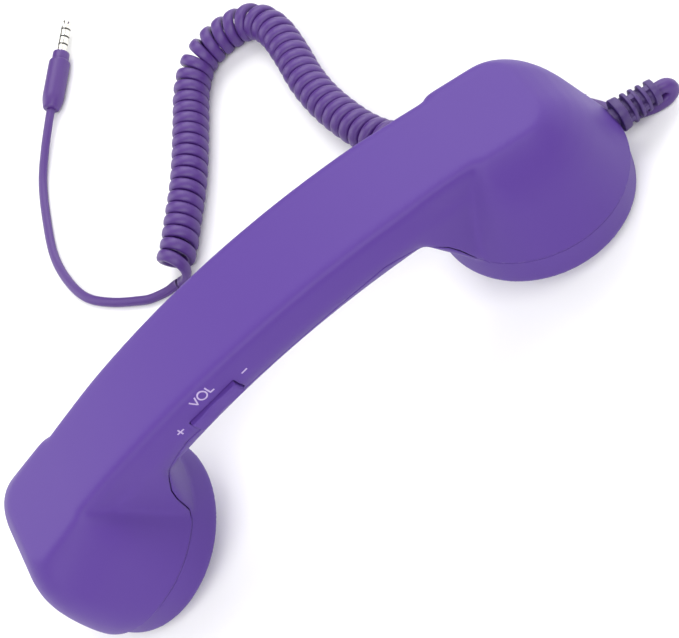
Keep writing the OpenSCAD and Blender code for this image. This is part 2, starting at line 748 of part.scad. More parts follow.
module plug_sleeve() {
    color(steel) on_plug() {
        translate([0, 0, plug_len]) cylinder(d = pin_neck_d, h = collar_len + 1, $fn = 48);
        translate([0, 0, pin_z + pin_shoulder]) cylinder(d = pin_d, h = sleeve_len - pin_shoulder, $fn = 48);
    }
}

module plug_rings() {
    color(steel) on_plug() for (i = [0:1])
        translate([0, 0, pin_z + sleeve_len + band + i * (ring_len + band)]) cylinder(d = pin_d, h = ring_len, $fn = 48);
}

module plug_insulators() {
    color(charcoal) on_plug() for (i = [0:2])
        translate([0, 0, pin_z + sleeve_len + i * (ring_len + band)]) cylinder(d = pin_d - 0.04, h = band, $fn = 48);
}

module plug_tip() {
    r = pin_d / 2;
    z = pin_z + pin_len - 4.2;
    color(steel) on_plug() translate([0, 0, z]) rotate_extrude($fn = 48) polygon([
        [0, 0], [r, 0], [r, 0.9], [r - 0.55, 1.5], [r - 0.5, 1.9], [r, 2.6], [r - 0.1, 3],
        [r - 0.7, 3.8], [0.4, 4.2], [0, 4.2]
    ]);
}

back_shell();
front_shell();
ear_cap();
mouth_cap();
receiver_gasket();
receiver_basket();
receiver_diaphragm();
receiver_magnet();
microphone_boot();
microphone_capsule();
circuit_board();
controller_chip();
volume_switches();
answer_switch();
rocker_bracket();
volume_rocker();
answer_button();
housing_screws();
receiver_lead();
microphone_lead();
strain_relief();
cord_tail();
curly_cord();
cord_lead();
plug_body();
plug_collar();
plug_sleeve();
plug_rings();
plug_tip();
plug_insulators();
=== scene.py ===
# %% [markdown]
# A telephone handset for a mobile phone, lying face down with its curly cord behind it.
# The exact model from CAD comes in first and stays as it is. Blender then adds what the eye looks for:
# soft moulded edges, a fine seam, a wound cord, printed marks and the right plastics.

# %% Load the frame
import math
import bmesh
import bpy
import numpy as np
from mathutils.bvhtree import BVHTree
from mathutils import Matrix, Vector


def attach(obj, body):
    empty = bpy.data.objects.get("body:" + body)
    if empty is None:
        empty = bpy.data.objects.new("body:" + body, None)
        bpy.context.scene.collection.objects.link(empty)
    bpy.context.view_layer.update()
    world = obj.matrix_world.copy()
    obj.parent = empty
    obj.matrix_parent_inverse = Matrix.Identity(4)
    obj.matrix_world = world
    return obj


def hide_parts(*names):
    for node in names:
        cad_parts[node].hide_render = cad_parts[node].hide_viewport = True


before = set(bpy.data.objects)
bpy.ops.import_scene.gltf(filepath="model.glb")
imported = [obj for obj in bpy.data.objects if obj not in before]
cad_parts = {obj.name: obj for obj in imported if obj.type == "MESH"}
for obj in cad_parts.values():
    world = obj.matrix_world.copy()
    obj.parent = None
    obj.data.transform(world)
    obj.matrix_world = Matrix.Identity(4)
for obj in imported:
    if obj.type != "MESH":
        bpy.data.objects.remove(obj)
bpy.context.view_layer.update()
MM = 0.001

# %% [markdown]
# The camera comes first, because every later choice is judged through it. Its place, turn and lens were
# found by matching known points of the handset, such as the rims and the plug, with the photograph.
# A long lens from half a metre away keeps the handle's curve calm.

# %% Camera
CAMERA_PLACE = (0.096673, -0.309903, 0.407919)
AZIMUTH = math.radians(15.221)
ELEVATION = math.radians(50.111)
ROLL = math.radians(-53.178)
LENS = 95.52


def make_camera():
    back = Vector((math.sin(AZIMUTH) * math.cos(ELEVATION), -math.cos(AZIMUTH) * math.cos(ELEVATION),
                   math.sin(ELEVATION)))
    level = Vector((math.cos(AZIMUTH), math.sin(AZIMUTH), 0))
    upright = back.cross(level)
    right = level * math.cos(ROLL) + upright * math.sin(ROLL)
    up = upright * math.cos(ROLL) - level * math.sin(ROLL)
    data = bpy.data.cameras.new("camera")
    data.lens = LENS
    data.sensor_width = 36
    data.clip_start = 0.01
    data.clip_end = 20
    camera = bpy.data.objects.new("camera", data)
    turn = Matrix((right, up, back)).transposed()
    camera.matrix_world = Matrix.Translation(CAMERA_PLACE) @ turn.to_4x4()
    bpy.context.scene.collection.objects.link(camera)
    bpy.context.scene.camera = camera


make_camera()
print("camera at", CAMERA_PLACE)

# %% [markdown]
# Most pieces here are meshes made from lists of points and faces, so one small helper turns such lists
# into an object that rides with a body of the handset and names the finish it takes.

# %% Helper for meshes
def add_mesh(name, points, faces, body="handset", smooth=True):
    mesh = bpy.data.meshes.new(name)
    mesh.from_pydata([tuple(p) for p in points], [], [tuple(f) for f in faces])
    mesh.validate()
    mesh.update()
    if smooth:
        mesh.polygons.foreach_set("use_smooth", np.ones(len(mesh.polygons), bool))
    piece = bpy.data.objects.new(name, mesh)
    bpy.context.scene.collection.objects.link(piece)
    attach(piece, body)
    return piece


def face_outwards(piece):
    made = bmesh.new()
    made.from_mesh(piece.data)
    bmesh.ops.recalc_face_normals(made, faces=made.faces)
    made.to_mesh(piece.data)
    made.free()


# %% [markdown]
# The cord is one real wire. It leaves the strain relief, curls under it, lies hidden behind the mouth
# cup, winds into a long coil and ends as a straight lead to the plug. The routes below follow the CAD
# solids, in metres, with a tighter bend at the strain relief. Each is a short row of chosen points, and a
# Catmull-Rom curve runs smoothly through them.

# %% Routes of the cord
TAIL_ROUTE = np.array([
    (0.1050, 0, 0.0103), (0.1100, 0, 0.0092), (0.11865, 0, 0.0072),
    (0.1213, -0.0005, 0.0068), (0.1224, -0.001, 0.0050), (0.1212, -0.001, 0.0030), (0.1178, -0.0005, 0.0022),
    (0.112, 0.002, 0.0021), (0.107, 0.007, 0.0021), (0.104, 0.013, 0.0021), (0.1005, 0.0195, 0.0022),
    (0.096, 0.026, 0.003), (0.092, 0.0305, 0.0050), (0.088, 0.0335, 0.0061),
])
COIL_ROUTE = np.array([
    (0.088, 0.0335), (0.080, 0.0385), (0.070, 0.042), (0.060, 0.0455), (0.0525, 0.052), (0.048, 0.061),
    (0.045, 0.072), (0.043, 0.084), (0.0425, 0.096), (0.0435, 0.109), (0.0435, 0.122), (0.0405, 0.1315),
    (0.034, 0.136), (0.025, 0.1375), (0.017, 0.1355), (0.010, 0.1285), (0.004, 0.118), (-0.003, 0.1055),
    (-0.009, 0.096), (-0.0155, 0.0875), (-0.022, 0.079), (-0.027, 0.074),
])
LEAD_ROUTE = np.array([
    (-0.0342, 0.0729, 0.0013), (-0.0396, 0.0750, 0.0013), (-0.0433, 0.0776, 0.0013), (-0.052, 0.0855, 0.0013),
    (-0.059, 0.095, 0.0013),
    (-0.062, 0.107, 0.0013), (-0.062, 0.1205, 0.0013), (-0.058, 0.1365, 0.0013), (-0.053, 0.150, 0.0016),
    (-0.0465, 0.160, 0.0026),
])
PLUG_BASE = np.array((-0.0365, 0.1725, 0.0038))
PLUG_TURN = math.radians(53)
PLUG_WAY = np.array((math.cos(PLUG_TURN), math.sin(PLUG_TURN), 0))
COIL_RADIUS = 0.0061


def smooth_through(points, between):
    before = np.vstack([points[:1], points[:-1]])
    after = np.vstack([points[1:], points[-1:]])
    rows = []
    for i in range(len(points) - 1):
        a, b, c, d = before[i], points[i], points[i + 1], after[min(i + 1, len(points) - 1)]
        for k in range(between):
            t = k / between
            rows.append(0.5 * (2 * b + (c - a) * t + (2 * a - 5 * b + 4 * c - d) * t * t
                               + (3 * b - a - 3 * c + d) * t ** 3))
    rows.append(points[-1])
    return np.array(rows)


def unit_rows(rows):
    return rows / np.maximum(np.linalg.norm(rows, axis=1, keepdims=True), 1e-12)


def even_steps(points, step):
    reach = np.concatenate([[0], np.cumsum(np.linalg.norm(np.diff(points, axis=0), axis=1))])
    count = max(2, int(round(reach[-1] / step)) + 1)
    marks = np.linspace(0, reach[-1], count)
    return np.column_stack([np.interp(marks, reach, points[:, i]) for i in range(3)])


print("route points:", len(TAIL_ROUTE) + len(COIL_ROUTE) + len(LEAD_ROUTE))

# %% [markdown]
# A coil is a wire that walks round a centre line. In a bend the turns crowd on the inside and open on the
# outside, so the number of turns per millimetre follows the bend, and a wire that is squeezed by its
# neighbours is made a little narrower there. The wire itself is a flat oval, wider along the coil than it
# is thick.

# %% Wind the coil
WIRE_WIDE = 0.00196
WIRE_THICK = 0.00135
PITCH = 0.0041
STEPS_A_TURN = 40
END_LOOSE = 0.003
LINE_STEP = 0.0001
BEND_REACH = 30


def winding():
    line = np.column_stack([COIL_ROUTE, np.full(len(COIL_ROUTE), COIL_RADIUS)])
    line = even_steps(smooth_through(line, 40), LINE_STEP)
    along = unit_rows(np.gradient(line, axis=0))
    side = np.column_stack([-along[:, 1], along[:, 0], np.zeros(len(along))])
    turned = np.gradient(np.unwrap(np.arctan2(along[:, 1], along[:, 0])), LINE_STEP)
    kernel = np.ones(2 * BEND_REACH + 1) / (2 * BEND_REACH + 1)
    bend = np.convolve(np.pad(turned, BEND_REACH, mode="edge"), kernel, mode="valid")
    pitch = PITCH * (1 + 0.55 * np.abs(bend) * COIL_RADIUS)
    angle = np.concatenate([[0], np.cumsum(LINE_STEP / pitch[:-1])]) * 2 * math.pi
    return line, along, side, bend, pitch, angle


def coil_wire():
    line, along, side, bend, pitch, angle = winding()
    end_angle = math.radians(-90)
    marks = np.arange(0, angle[-1], 2 * math.pi / STEPS_A_TURN)
    steps = np.arange(len(angle))
    pick = np.interp(marks, angle, steps)

    def at(values):
        return np.column_stack([np.interp(pick, steps, values[:, i]) for i in range(values.shape[1])])

    centre, way, left = at(line), at(along), at(side)
    turn = end_angle + marks[-1] - marks
    loose = np.clip((marks - marks[-1] + math.pi) / math.pi, 0, 1)
    centre = centre + (END_LOOSE * loose ** 1.5)[:, None] * way
    up = np.array((0, 0, 1.0))
    out = np.cos(turn)[:, None] * left + np.sin(turn)[:, None] * up
    radius = (COIL_RADIUS - WIRE_THICK) * np.minimum(1, 0.12 + marks / (2 * math.pi))
    points = centre + radius[:, None] * out
    local = np.interp(pick, steps, pitch) * (
        1 - np.interp(pick, steps, bend) * (COIL_RADIUS - WIRE_THICK) * np.cos(turn))
    wide = np.clip(0.485 * local, 0.0011, WIRE_WIDE)
    return points, out, wide


COIL_POINTS, COIL_OUT, COIL_WIDE = coil_wire()
print("turns:", round(len(COIL_POINTS) / STEPS_A_TURN, 1))

# %% [markdown]
# The three stretches are joined into one row of points, each with its own half width and half thickness,
# and a flat-oval section is swept along them. The sweep keeps its flat side turned to the outside of the
# coil, and its width and thickness ease over a few millimetres where the stretches meet.

# %% Sweep the wire
def wire_path():
    tail = even_steps(smooth_through(TAIL_ROUTE[:-1], 12), 0.0006)
    last = COIL_POINTS[-1]
    lead_points = np.vstack([[last + (COIL_POINTS[-1] - COIL_POINTS[-3]) * 1.2], LEAD_ROUTE,
                             [PLUG_BASE - 0.004 * PLUG_WAY], [PLUG_BASE + 0.002 * PLUG_WAY]])
    lead = even_steps(smooth_through(np.vstack([[last], lead_points]), 12), 0.0008)[1:]
    up = np.array((0, 0, 1.0))
    points = np.vstack([tail, COIL_POINTS, lead])
    flat = np.clip((0.118 - tail[:, 0]) / 0.008, 0, 1)
    tail_out = np.column_stack([np.zeros(len(tail)), flat - 1, flat])
    out = np.vstack([tail_out, COIL_OUT, np.tile(up, (len(lead), 1))])
    wide = np.concatenate([np.full(len(tail), 0.0020), COIL_WIDE, np.full(len(lead), 0.00155)])
    thick = np.concatenate([np.full(len(tail), 0.0019), np.full(len(COIL_POINTS), WIRE_THICK),
                            np.full(len(lead), 0.00118)])
    return points, out, wide, thick


def eased_rows(rows, reach):
    kernel = np.hanning(2 * reach + 3)[1:-1]
    kernel = kernel / kernel.sum()
    return np.column_stack([np.convolve(np.pad(rows[:, i], reach, mode="edge"), kernel, mode="valid")
                            for i in range(rows.shape[1])])


def sweep_wire(points, out, wide, thick, sides=14):
    way = unit_rows(np.gradient(points, axis=0))
    out = unit_rows(out - (out * way).sum(1, keepdims=True) * way)
    across = np.cross(way, out)
    rings = []
    for k in range(sides):
        a = 2 * math.pi * (k + 0.5) / sides
        c, s = math.cos(a), math.sin(a)
        u = math.copysign(abs(c) ** 0.8, c)
        v = math.copysign(abs(s) ** 0.8, s)
        rings.append(points + (wide * u)[:, None] * across + (thick * v)[:, None] * out)
    rings = np.stack(rings, axis=1)
    count = len(points)
    j, k = np.meshgrid(np.arange(count - 1), np.arange(sides), indexing="ij")
    n = (k + 1) % sides
    this, following = j * sides, (j + 1) * sides
    faces = np.stack([this + k, this + n, following + n, following + k], -1).reshape(-1, 4).tolist()
    faces.append(list(range(sides))[::-1])
    faces.append([(count - 1) * sides + k for k in range(sides)])
    return rings.reshape(-1, 3), faces


def make_cord():
    points, out, wide, thick = wire_path()
    sizes = eased_rows(np.column_stack([wide, thick]), 6)
    verts, faces = sweep_wire(points, out, sizes[:, 0], sizes[:, 1])
    cord = add_mesh("cord", verts, faces)
    face_outwards(cord)
    length = float(np.linalg.norm(np.diff(points, axis=0), axis=1).sum())
    return cord, points, length


cord, cord_path, cord_length = make_cord()
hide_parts("cord_tail", "curly_cord", "cord_lead")
print("cord length:", round(cord_length, 3), "m, points:", len(cord_path))

# %% [markdown]
# The strain relief is a soft moulded sleeve. A block sits against the cup behind a narrow dark neck, then
# come four slots with three thin ribs between them, and a collar holds the cord. Webs on alternate sides
# join the ribs, so it bends every way. It is turned about its axis, from rings that are slightly
# squarish.

# %% Strain relief
CUP_TILT = math.radians(12.9)
CUP_RADIUS = 0.02875
RIM_HIGH = 0.0106
HALF_LONG = 0.105
FACE_X = HALF_LONG - CUP_RADIUS * math.cos(CUP_TILT) - RIM_HIGH * math.sin(CUP_TILT)
FACE_Z = CUP_RADIUS * math.sin(CUP_TILT)


def cup_matrix(side):
    """Places a piece on a cup: its face at z = 0, the inside along +z, outwards along +x."""
    turn = Matrix.Rotation(CUP_TILT, 4, "Y")
    place = Matrix.Translation((FACE_X, 0, FACE_Z)) @ turn
    flip = Matrix.Diagonal((-1, 1, 1, 1)) if side < 0 else Matrix.Identity(4)
    return flip @ place


def lathe_points(profile, sides, squareness=2.0):
    rows = []
    for z, r in profile:
        for k in range(sides):
            a = 2 * math.pi * k / sides
            c, s = math.cos(a), math.sin(a)
            spread = (abs(c) ** squareness + abs(s) ** squareness) ** (-1 / squareness)
            rows.append((r * c * spread, r * s * spread, z))
    return rows


def lathe_faces(rows, sides):
    faces = []
    for j in range(rows - 1):
        for k in range(sides):
            n = (k + 1) % sides
            faces.append((j * sides + k, j * sides + n, (j + 1) * sides + n, (j + 1) * sides + k))
    faces.append(tuple(range(sides))[::-1])
    faces.append(tuple((rows - 1) * sides + k for k in range(sides)))
    return faces


RELIEF_LONG = 0.014
RELIEF_BASE = 0.0034
RELIEF_RIB = 0.0011
RELIEF_SLOT = 0.0013


def relief_profile():
    """Radius along the sleeve, with a small round-over at each edge, in metres."""
    core, soft = 0.00245, 0.00025

    def outer(s):
        return 0.0048 + (0.00345 - 0.0048) * s / RELIEF_LONG

    blocks = [(0.0008, RELIEF_BASE)]
    for i in range(3):
        start = RELIEF_BASE + RELIEF_SLOT + i * (RELIEF_RIB + RELIEF_SLOT)
        blocks.append((start, start + RELIEF_RIB))
    blocks.append((RELIEF_LONG - 0.0020, RELIEF_LONG))
    profile = [(-0.0030, core), (0.0007, core)]
    for start, end in blocks:
        profile += [(start, core), (start, outer(start) - soft)]
        profile += [(start + soft * 0.3, outer(start) - soft * 0.3), (start + soft, outer(start))]
        profile += [(end - soft, outer(end)), (end - soft * 0.3, outer(end) - soft * 0.3)]
        profile += [(end, outer(end) - soft), (end, core)]
    profile[-2:] = [(RELIEF_LONG, 0.0021), (RELIEF_LONG - 0.001, 0.0019)]
    return profile


def relief_matrix():
    seat = Matrix.Translation((CUP_RADIUS, 0, RIM_HIGH))
    return cup_matrix(1) @ seat @ Matrix.Rotation(math.pi / 2, 4, "Y")


def make_relief():
    sides = 48
    profile = relief_profile()
    points = lathe_points(profile, sides, squareness=2.5)
    relief = add_mesh("strain_relief_sleeve", points, lathe_faces(len(profile), sides))
    made = bmesh.new()
    made.from_mesh(relief.data)
    for i in range(4):
        z0 = RELIEF_BASE + i * (RELIEF_RIB + RELIEF_SLOT)
        box = bmesh.ops.create_cube(made, size=1.0)["verts"]
        wide = 0.0084 - 0.0006 * i
        high = RELIEF_SLOT + 0.0002
        size = (wide, 0.0018, high) if i % 2 else (0.0018, wide, high)
        for v in box:
            v.co = Vector((v.co.x * size[0], v.co.y * size[1], v.co.z * size[2] + z0 + RELIEF_SLOT / 2))
    bmesh.ops.recalc_face_normals(made, faces=made.faces)
    made.to_mesh(relief.data)
    made.free()
    relief.data.transform(relief_matrix())
    relief.data.set_sharp_from_angle(angle=math.radians(50))
    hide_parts("strain_relief")
    return relief


relief = make_relief()
print("strain relief faces:", len(relief.data.polygons))

# %% [markdown]
# The plug is turned metal in a soft moulded grip. The grip rounds quickly from the lead, runs straight
# and has soft shoulders at a small collar. The pin has its four contacts, parted by three dark rings. All
# are lathe profiles along the plug's way.

# %% Plug
def plug_matrix():
    turn = Matrix.Rotation(PLUG_TURN, 4, "Z") @ Matrix.Rotation(math.pi / 2, 4, "Y")
    return Matrix.Translation(PLUG_BASE) @ turn


def turned_piece(name, profile, nodes, sides=64):
    points = lathe_points(profile, sides)
    piece = add_mesh(name, points, lathe_faces(len(profile), sides))
    piece.data.transform(plug_matrix())
    face_outwards(piece)
    piece.data.set_sharp_from_angle(angle=math.radians(40))
    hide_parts(*nodes)
    return piece


def grip_profile():
    rows = [(0.0, 0.0004), (0.0, 0.0024), (0.0002, 0.0027)]
    for i in range(13):
        t = i / 12
        rows.append((0.0004 + 0.0050 * t, 0.0029 + 0.0009 * math.sin(t * math.pi / 2)))
    rows += [(0.0186, 0.0038), (0.0190, 0.00376), (0.0193, 0.0036), (0.0195, 0.0034), (0.0196, 0.0031),
             (0.0196, 0.0004)]
    return rows


grip = turned_piece("plug_grip", grip_profile(), ["plug_body"])
collar = turned_piece("plug_collar_ring", [
    (0.0194, 0.0018), (0.0194, 0.0029), (0.0195, 0.0030), (0.0227, 0.0030), (0.02295, 0.0029),
    (0.0230, 0.0027), (0.0230, 0.0018)], ["plug_collar"])
print("plug grip reaches", [round(c, 4) for c in grip.bound_box[6]])

# %% [markdown]
# The two moulded shells are the heart of the object: a handle with a curved back, a domed cup at each end
# with a flat on top, and a round tilted rim below. Real mouldings have soft edges that flow into one
# another. Bevels on a faceted solid break where several forms meet, so the form is described as a
# distance field: every point of a grid says how far it lies from the skin. A union is then the smaller of
# two distances, and a light blur rounds all edges and creases at once.

# %% Sizes of the shells, in millimetres
BACK_HIGH = 61.6
BACK_RADIUS = 275.0
CREASE_X = 105 - 33.2
FLAT_X = 105 - 12.0
BACK_WIDE = (31.2, 29.2)
SIDE_WIDE = (34.6, 30.8)
SIDE_DROP = 8.5
PALM_DEEP = 13.5
PALM_GROW = 2.4
EDGE_SOFT = 2.2
NECK_HALF = 16.9
FLAT_CORNER = 8.0
BULGE = 2.5
END_BULGE = 0.25
CORNER_BULGE = 0.7
LOW_BULGE = 3.0
TILT = CUP_TILT
CUP_R = 28.75
RIM_H = 10.6
WALL = 2.0
RIM_TOP_X = FACE_X * 1000 + RIM_H * math.sin(TILT)
RIM_TOP_Z = FACE_Z * 1000 + RIM_H * math.cos(TILT)
NECK_X = RIM_TOP_X - math.sqrt(CUP_R ** 2 - NECK_HALF ** 2) * math.cos(TILT)
END_SLOPE = math.asin(CREASE_X / BACK_RADIUS)


def arc_z(x):
    return BACK_HIGH - BACK_RADIUS + np.sqrt(BACK_RADIUS ** 2 - x * x)


def back_z(x):
    x = np.abs(x)
    over = np.maximum(x - CREASE_X, 0)
    return arc_z(np.minimum(x, CREASE_X)) - over * math.tan(END_SLOPE)


def towards_cup(x):
    return (np.minimum(np.abs(x), CREASE_X) / CREASE_X) ** 2


def eased(t):
    t = np.clip(t, 0, 1)
    return t * t * (3 - 2 * t)


def side_half(x):
    return (SIDE_WIDE[0] + (SIDE_WIDE[1] - SIDE_WIDE[0]) * eased((np.abs(x) - 46) / 14)) / 2


def rim_plane_z(x):
    return RIM_TOP_Z - (np.abs(x) - RIM_TOP_X) * math.tan(TILT)


print("neck at x =", round(NECK_X, 2), "mm, end slope", round(math.degrees(END_SLOPE), 2))

# %% [markdown]
# The grid covers a quarter of the handset at a time, because the far side mirrors the near one. The
# handle's distance is measured slice by slice to its outline, with numpy doing whole slices at once.

# %% Distance to the handle
CELL = 0.72
GRID_X = np.arange(0, 109, CELL)
GRID_Y = np.arange(0, 32.5, CELL)
GRID_Z = np.arange(-3.5, 65.5, CELL)


def half_section(x):
    w = (BACK_WIDE[0] + (BACK_WIDE[1] - BACK_WIDE[0]) * towards_cup(x)) / 2
    a = side_half(x)
    b = PALM_DEEP + PALM_GROW * towards_cup(x)
    rows = [(0, 0), (w - EDGE_SOFT, 0)]
    for t in np.linspace(0.1, 0.9, 9):
        out = w - EDGE_SOFT * (1 - t) ** 2 + (a - w) * EDGE_SOFT / SIDE_DROP * t * t
        rows.append((out, -EDGE_SOFT * t * t))
    rows.append((w + (a - w) * EDGE_SOFT / SIDE_DROP, -EDGE_SOFT))
    for t in np.radians(np.linspace(0, 90, 21)):
        rows.append((a * math.cos(t), -SIDE_DROP - b * math.sin(t)))
    return np.array(rows) + np.array((0, back_z(x)))


def outline_distance(outline, y, z):
    """Signed distance of points to a half outline that closes on the middle plane."""
    best = np.full(y.shape, 1e9)
    inside = np.zeros(y.shape, bool)
    for a, b in zip(outline[:-1], outline[1:]):
        edge = b - a
        t = np.clip(((y - a[0]) * edge[0] + (z - a[1]) * edge[1]) / max(edge @ edge, 1e-9), 0, 1)
        best = np.minimum(best, (y - a[0] - t * edge[0]) ** 2 + (z - a[1] - t * edge[1]) ** 2)
        crosses = (a[1] > z) != (b[1] > z)
        where = a[0] + (z - a[1]) * edge[0] / (edge[1] if edge[1] else 1e-9)
        inside ^= crosses & (y < where)
    return np.where(inside, -1, 1) * np.sqrt(best)


def handle_field():
    y, z = np.meshgrid(GRID_Y, GRID_Z, indexing="ij")
    field = np.full((len(GRID_X), len(GRID_Y), len(GRID_Z)), 30.0)
    for i, x in enumerate(GRID_X):
        if x > CREASE_X + 9:
            break
        inset = 0.0 if x <= CREASE_X else 0.3 + 0.15 * (x - CREASE_X)
        field[i] = outline_distance(half_section(x), y, z) + inset
    return field


HANDLE = handle_field()
print("grid:", HANDLE.shape)

# %% [markdown]
# The dome over a cup is a convex skin between the flat's outline and the rim. The mouth cup bulges most
# at its outer end, the ear cup at its outer corners, low above the rim. A convex form is the space under
# all of its planes, so its distance is the largest of the distances to them. The upper shell's dome runs
# on past the seam, so that the seam later cuts it crisply.

# %% Distance to the domes, necks and rims
def flat_ring(angles):
    half = BACK_WIDE[1] / 2
    long = (FLAT_X - CREASE_X) / math.cos(END_SLOPE)
    rows = []
    for a in angles:
        c, s = math.cos(a), math.sin(a)
        r = FLAT_CORNER if c > 1e-9 else 0
        p = (long - r + r * c if c > 1e-9 else 0, (np.sign(s) if abs(s) > 1e-9 else 0) * (half - r) + r * s)
        rows.append((CREASE_X + p[0] * math.cos(END_SLOPE), p[1],
                     back_z(CREASE_X) - p[0] * math.sin(END_SLOPE)))
    return np.array(rows)


def rim_ring(angles, r, lift):
    return np.array([(RIM_TOP_X + r * math.cos(a) * math.cos(TILT) + lift * math.sin(TILT), r * math.sin(a),
                      RIM_TOP_Z - r * math.cos(a) * math.sin(TILT) + lift * math.cos(TILT)) for a in angles])


def hump(u):
    return 4 * u * (1 - u)


# The product outer * across ** 3 is 1 / 3.08 where it is largest.
CORNER_PEAK = 3.08


def bulge(t, angles, side):
    """How far the domed wall stands out beyond a straight line from rim to flat."""
    t = max(t, 0)
    outer, across = np.maximum(np.cos(angles), 0), np.abs(np.sin(angles))
    if side > 0:
        return BULGE * hump(t ** 1.5) * (1 + END_BULGE * outer)
    low = LOW_BULGE * hump(t ** 0.4) * CORNER_PEAK * outer * across ** 3
    return BULGE * hump(t ** 1.5) * (1 + 2 * CORNER_BULGE * outer * across) + low


def dome_points(side, run_on):
    angles = np.radians(np.arange(0, 360, 3))
    low, high = rim_ring(angles, CUP_R - 0.06, 0.1), flat_ring(angles)
    ways = np.column_stack([np.cos(angles), np.sin(angles), np.full(len(angles), 0.45)])
    rings = []
    for t in ([-0.1] if run_on else []) + [0, 0.05, 0.1, 0.17, 0.25, 0.37, 0.5, 0.62, 0.75, 0.87, 0.95, 1]:
        rings.append((1 - t) * low + t * high + bulge(t, angles, side)[:, None] * ways)
    if not run_on:
        rings.append(rim_ring(angles, CUP_R - 0.06, -0.3))
    return np.vstack(rings)


def hull_planes(points):
    made = bmesh.new()
    for p in points:
        made.verts.new(p)
    made.verts.ensure_lookup_table()
    bmesh.ops.convex_hull(made, input=list(made.verts), use_existing_faces=False)
    middle = Vector(points.mean(0))
    planes = set()
    for face in made.faces:
        corners = [v.co for v in face.verts]
        normal = (corners[1] - corners[0]).cross(corners[2] - corners[0])
        if normal.length < 2e-4:
            continue
        normal.normalize()
        reach = normal.dot(corners[0])
        if normal.dot(middle) > reach:
            normal, reach = -normal, -reach
        planes.add((round(normal.x, 4), round(normal.y, 4), round(normal.z, 4), round(reach, 3)))
    made.free()
    planes = np.array(sorted(planes))
    planes[:, 3] = (points @ planes[:, :3].T).max(0)
    return planes.astype(np.float32)


def convex_field(points):
    planes = hull_planes(points)
    first = np.searchsorted(GRID_X, points[:, 0].min() - 4)
    x, y, z = np.meshgrid(GRID_X[first:], GRID_Y, GRID_Z, indexing="ij")
    spots = np.column_stack([x.ravel(), y.ravel(), z.ravel()]).astype(np.float32)
    best = np.empty(len(spots), np.float32)
    for start in range(0, len(spots), 20000):
        part = spots[start:start + 20000]
        best[start:start + 20000] = (part @ planes[:, :3].T - planes[:, 3]).max(1)
    field = np.full((len(GRID_X), len(GRID_Y), len(GRID_Z)), 30.0)
    field[first:] = best.reshape(x.shape)
    return field


def neck_points():
    points = []
    for a in np.radians(np.arange(120, 241, 3)):
        r = CUP_R
        x, y = r * math.cos(a), r * math.sin(a)
        if abs(y) <= NECK_HALF and x < -CUP_R + 12:
            for lift in (-0.5, -0.1):
                points.append((RIM_TOP_X + x * math.cos(TILT) + lift * math.sin(TILT), y,
                               RIM_TOP_Z - x * math.sin(TILT) + lift * math.cos(TILT)))
    for side in (-1, 1):
        x = -math.sqrt(CUP_R ** 2 - NECK_HALF ** 2)
        points.append((RIM_TOP_X + x * math.cos(TILT), side * NECK_HALF, RIM_TOP_Z - x * math.sin(TILT)))
    for x in (NECK_X - 8.3, CREASE_X - 2):
        for p in half_section(x):
            if p[1] < back_z(x) - SIDE_DROP + 0.01:
                points += [(x, p[0], p[1]), (x, -p[0], p[1])]
    return np.array(points)


def rim_field(extra):
    x, y, z = np.meshgrid(GRID_X, GRID_Y, GRID_Z, indexing="ij")
    dx, dz = x - FACE_X * 1000, z - FACE_Z * 1000
    u = dx * math.cos(TILT) - dz * math.sin(TILT)
    w = dx * math.sin(TILT) + dz * math.cos(TILT)
    radial = np.hypot(u, y) - CUP_R
    top = RIM_H + np.where(x > NECK_X + 2, extra, 0.0)
    flat = np.maximum(-w, w - top)
    return np.minimum(np.maximum(radial, flat), 0) + np.hypot(np.maximum(radial, 0), np.maximum(flat, 0))


SHARED = np.minimum(HANDLE, convex_field(neck_points()))
UPPER = [np.minimum(SHARED, convex_field(dome_points(side, True))) for side in (-1, 1)]
WITH_RIMS = np.minimum(SHARED, rim_field(2.5))
LOWER = [np.minimum(WITH_RIMS, convex_field(dome_points(side, False))) for side in (-1, 1)]
print("deepest points:", [round(float(field.min()), 1) for field in UPPER + LOWER])

# %% [markdown]
# Mirroring the quarters gives the whole grid, and a Gaussian blur of about a millimetre rounds it. The
# skin is then drawn where the distance is zero, by the method called surface nets: one point in each cell
# that the skin crosses, joined to its neighbours. A few steps along the slope put every point exactly on
# the skin.

# %% Blur and skin a field
def whole(ear, mouth):
    field = np.concatenate([ear[:0:-1], mouth], axis=0)
    return np.concatenate([field[:, :0:-1], field], axis=1)


def blurred(field, spread):
    reach = int(3 * spread / CELL) + 1
    kernel = np.exp(-0.5 * (np.arange(-reach, reach + 1) * CELL / spread) ** 2)
    kernel = kernel / kernel.sum()
    for axis in range(3):
        padded = np.pad(field, [(reach, reach) if i == axis else (0, 0) for i in range(3)], mode="edge")
        total = np.zeros_like(field)
        for k, share in enumerate(kernel):
            cut = [slice(None)] * 3
            cut[axis] = slice(k, k + field.shape[axis])
            total += share * padded[tuple(cut)]
        field = total
    return field


ORIGIN = np.array((-GRID_X[-1], -GRID_Y[-1], GRID_Z[0]))


def sampled(field, points):
    """Value of the field at points, between the grid's corners."""
    spot = (points - ORIGIN) / CELL
    base = np.clip(np.floor(spot).astype(int), 0, np.array(field.shape) - 2)
    f = spot - base
    i, j, k = base.T
    total = 0
    for di in (0, 1):
        for dj in (0, 1):
            for dk in (0, 1):
                weight = ((f[:, 0] if di else 1 - f[:, 0]) * (f[:, 1] if dj else 1 - f[:, 1])
                          * (f[:, 2] if dk else 1 - f[:, 2]))
                total = total + weight * field[i + di, j + dj, k + dk]
    return total


def slopes(field):
    return [np.gradient(field, CELL, axis=axis) for axis in range(3)]


def onto_skin(points, field, slope, rounds=3):
    for _ in range(rounds):
        way = np.column_stack([sampled(g, points) for g in slope])
        size = np.maximum((way ** 2).sum(1), 1e-6)
        points = points - (sampled(field, points) / size)[:, None] * way
    return points


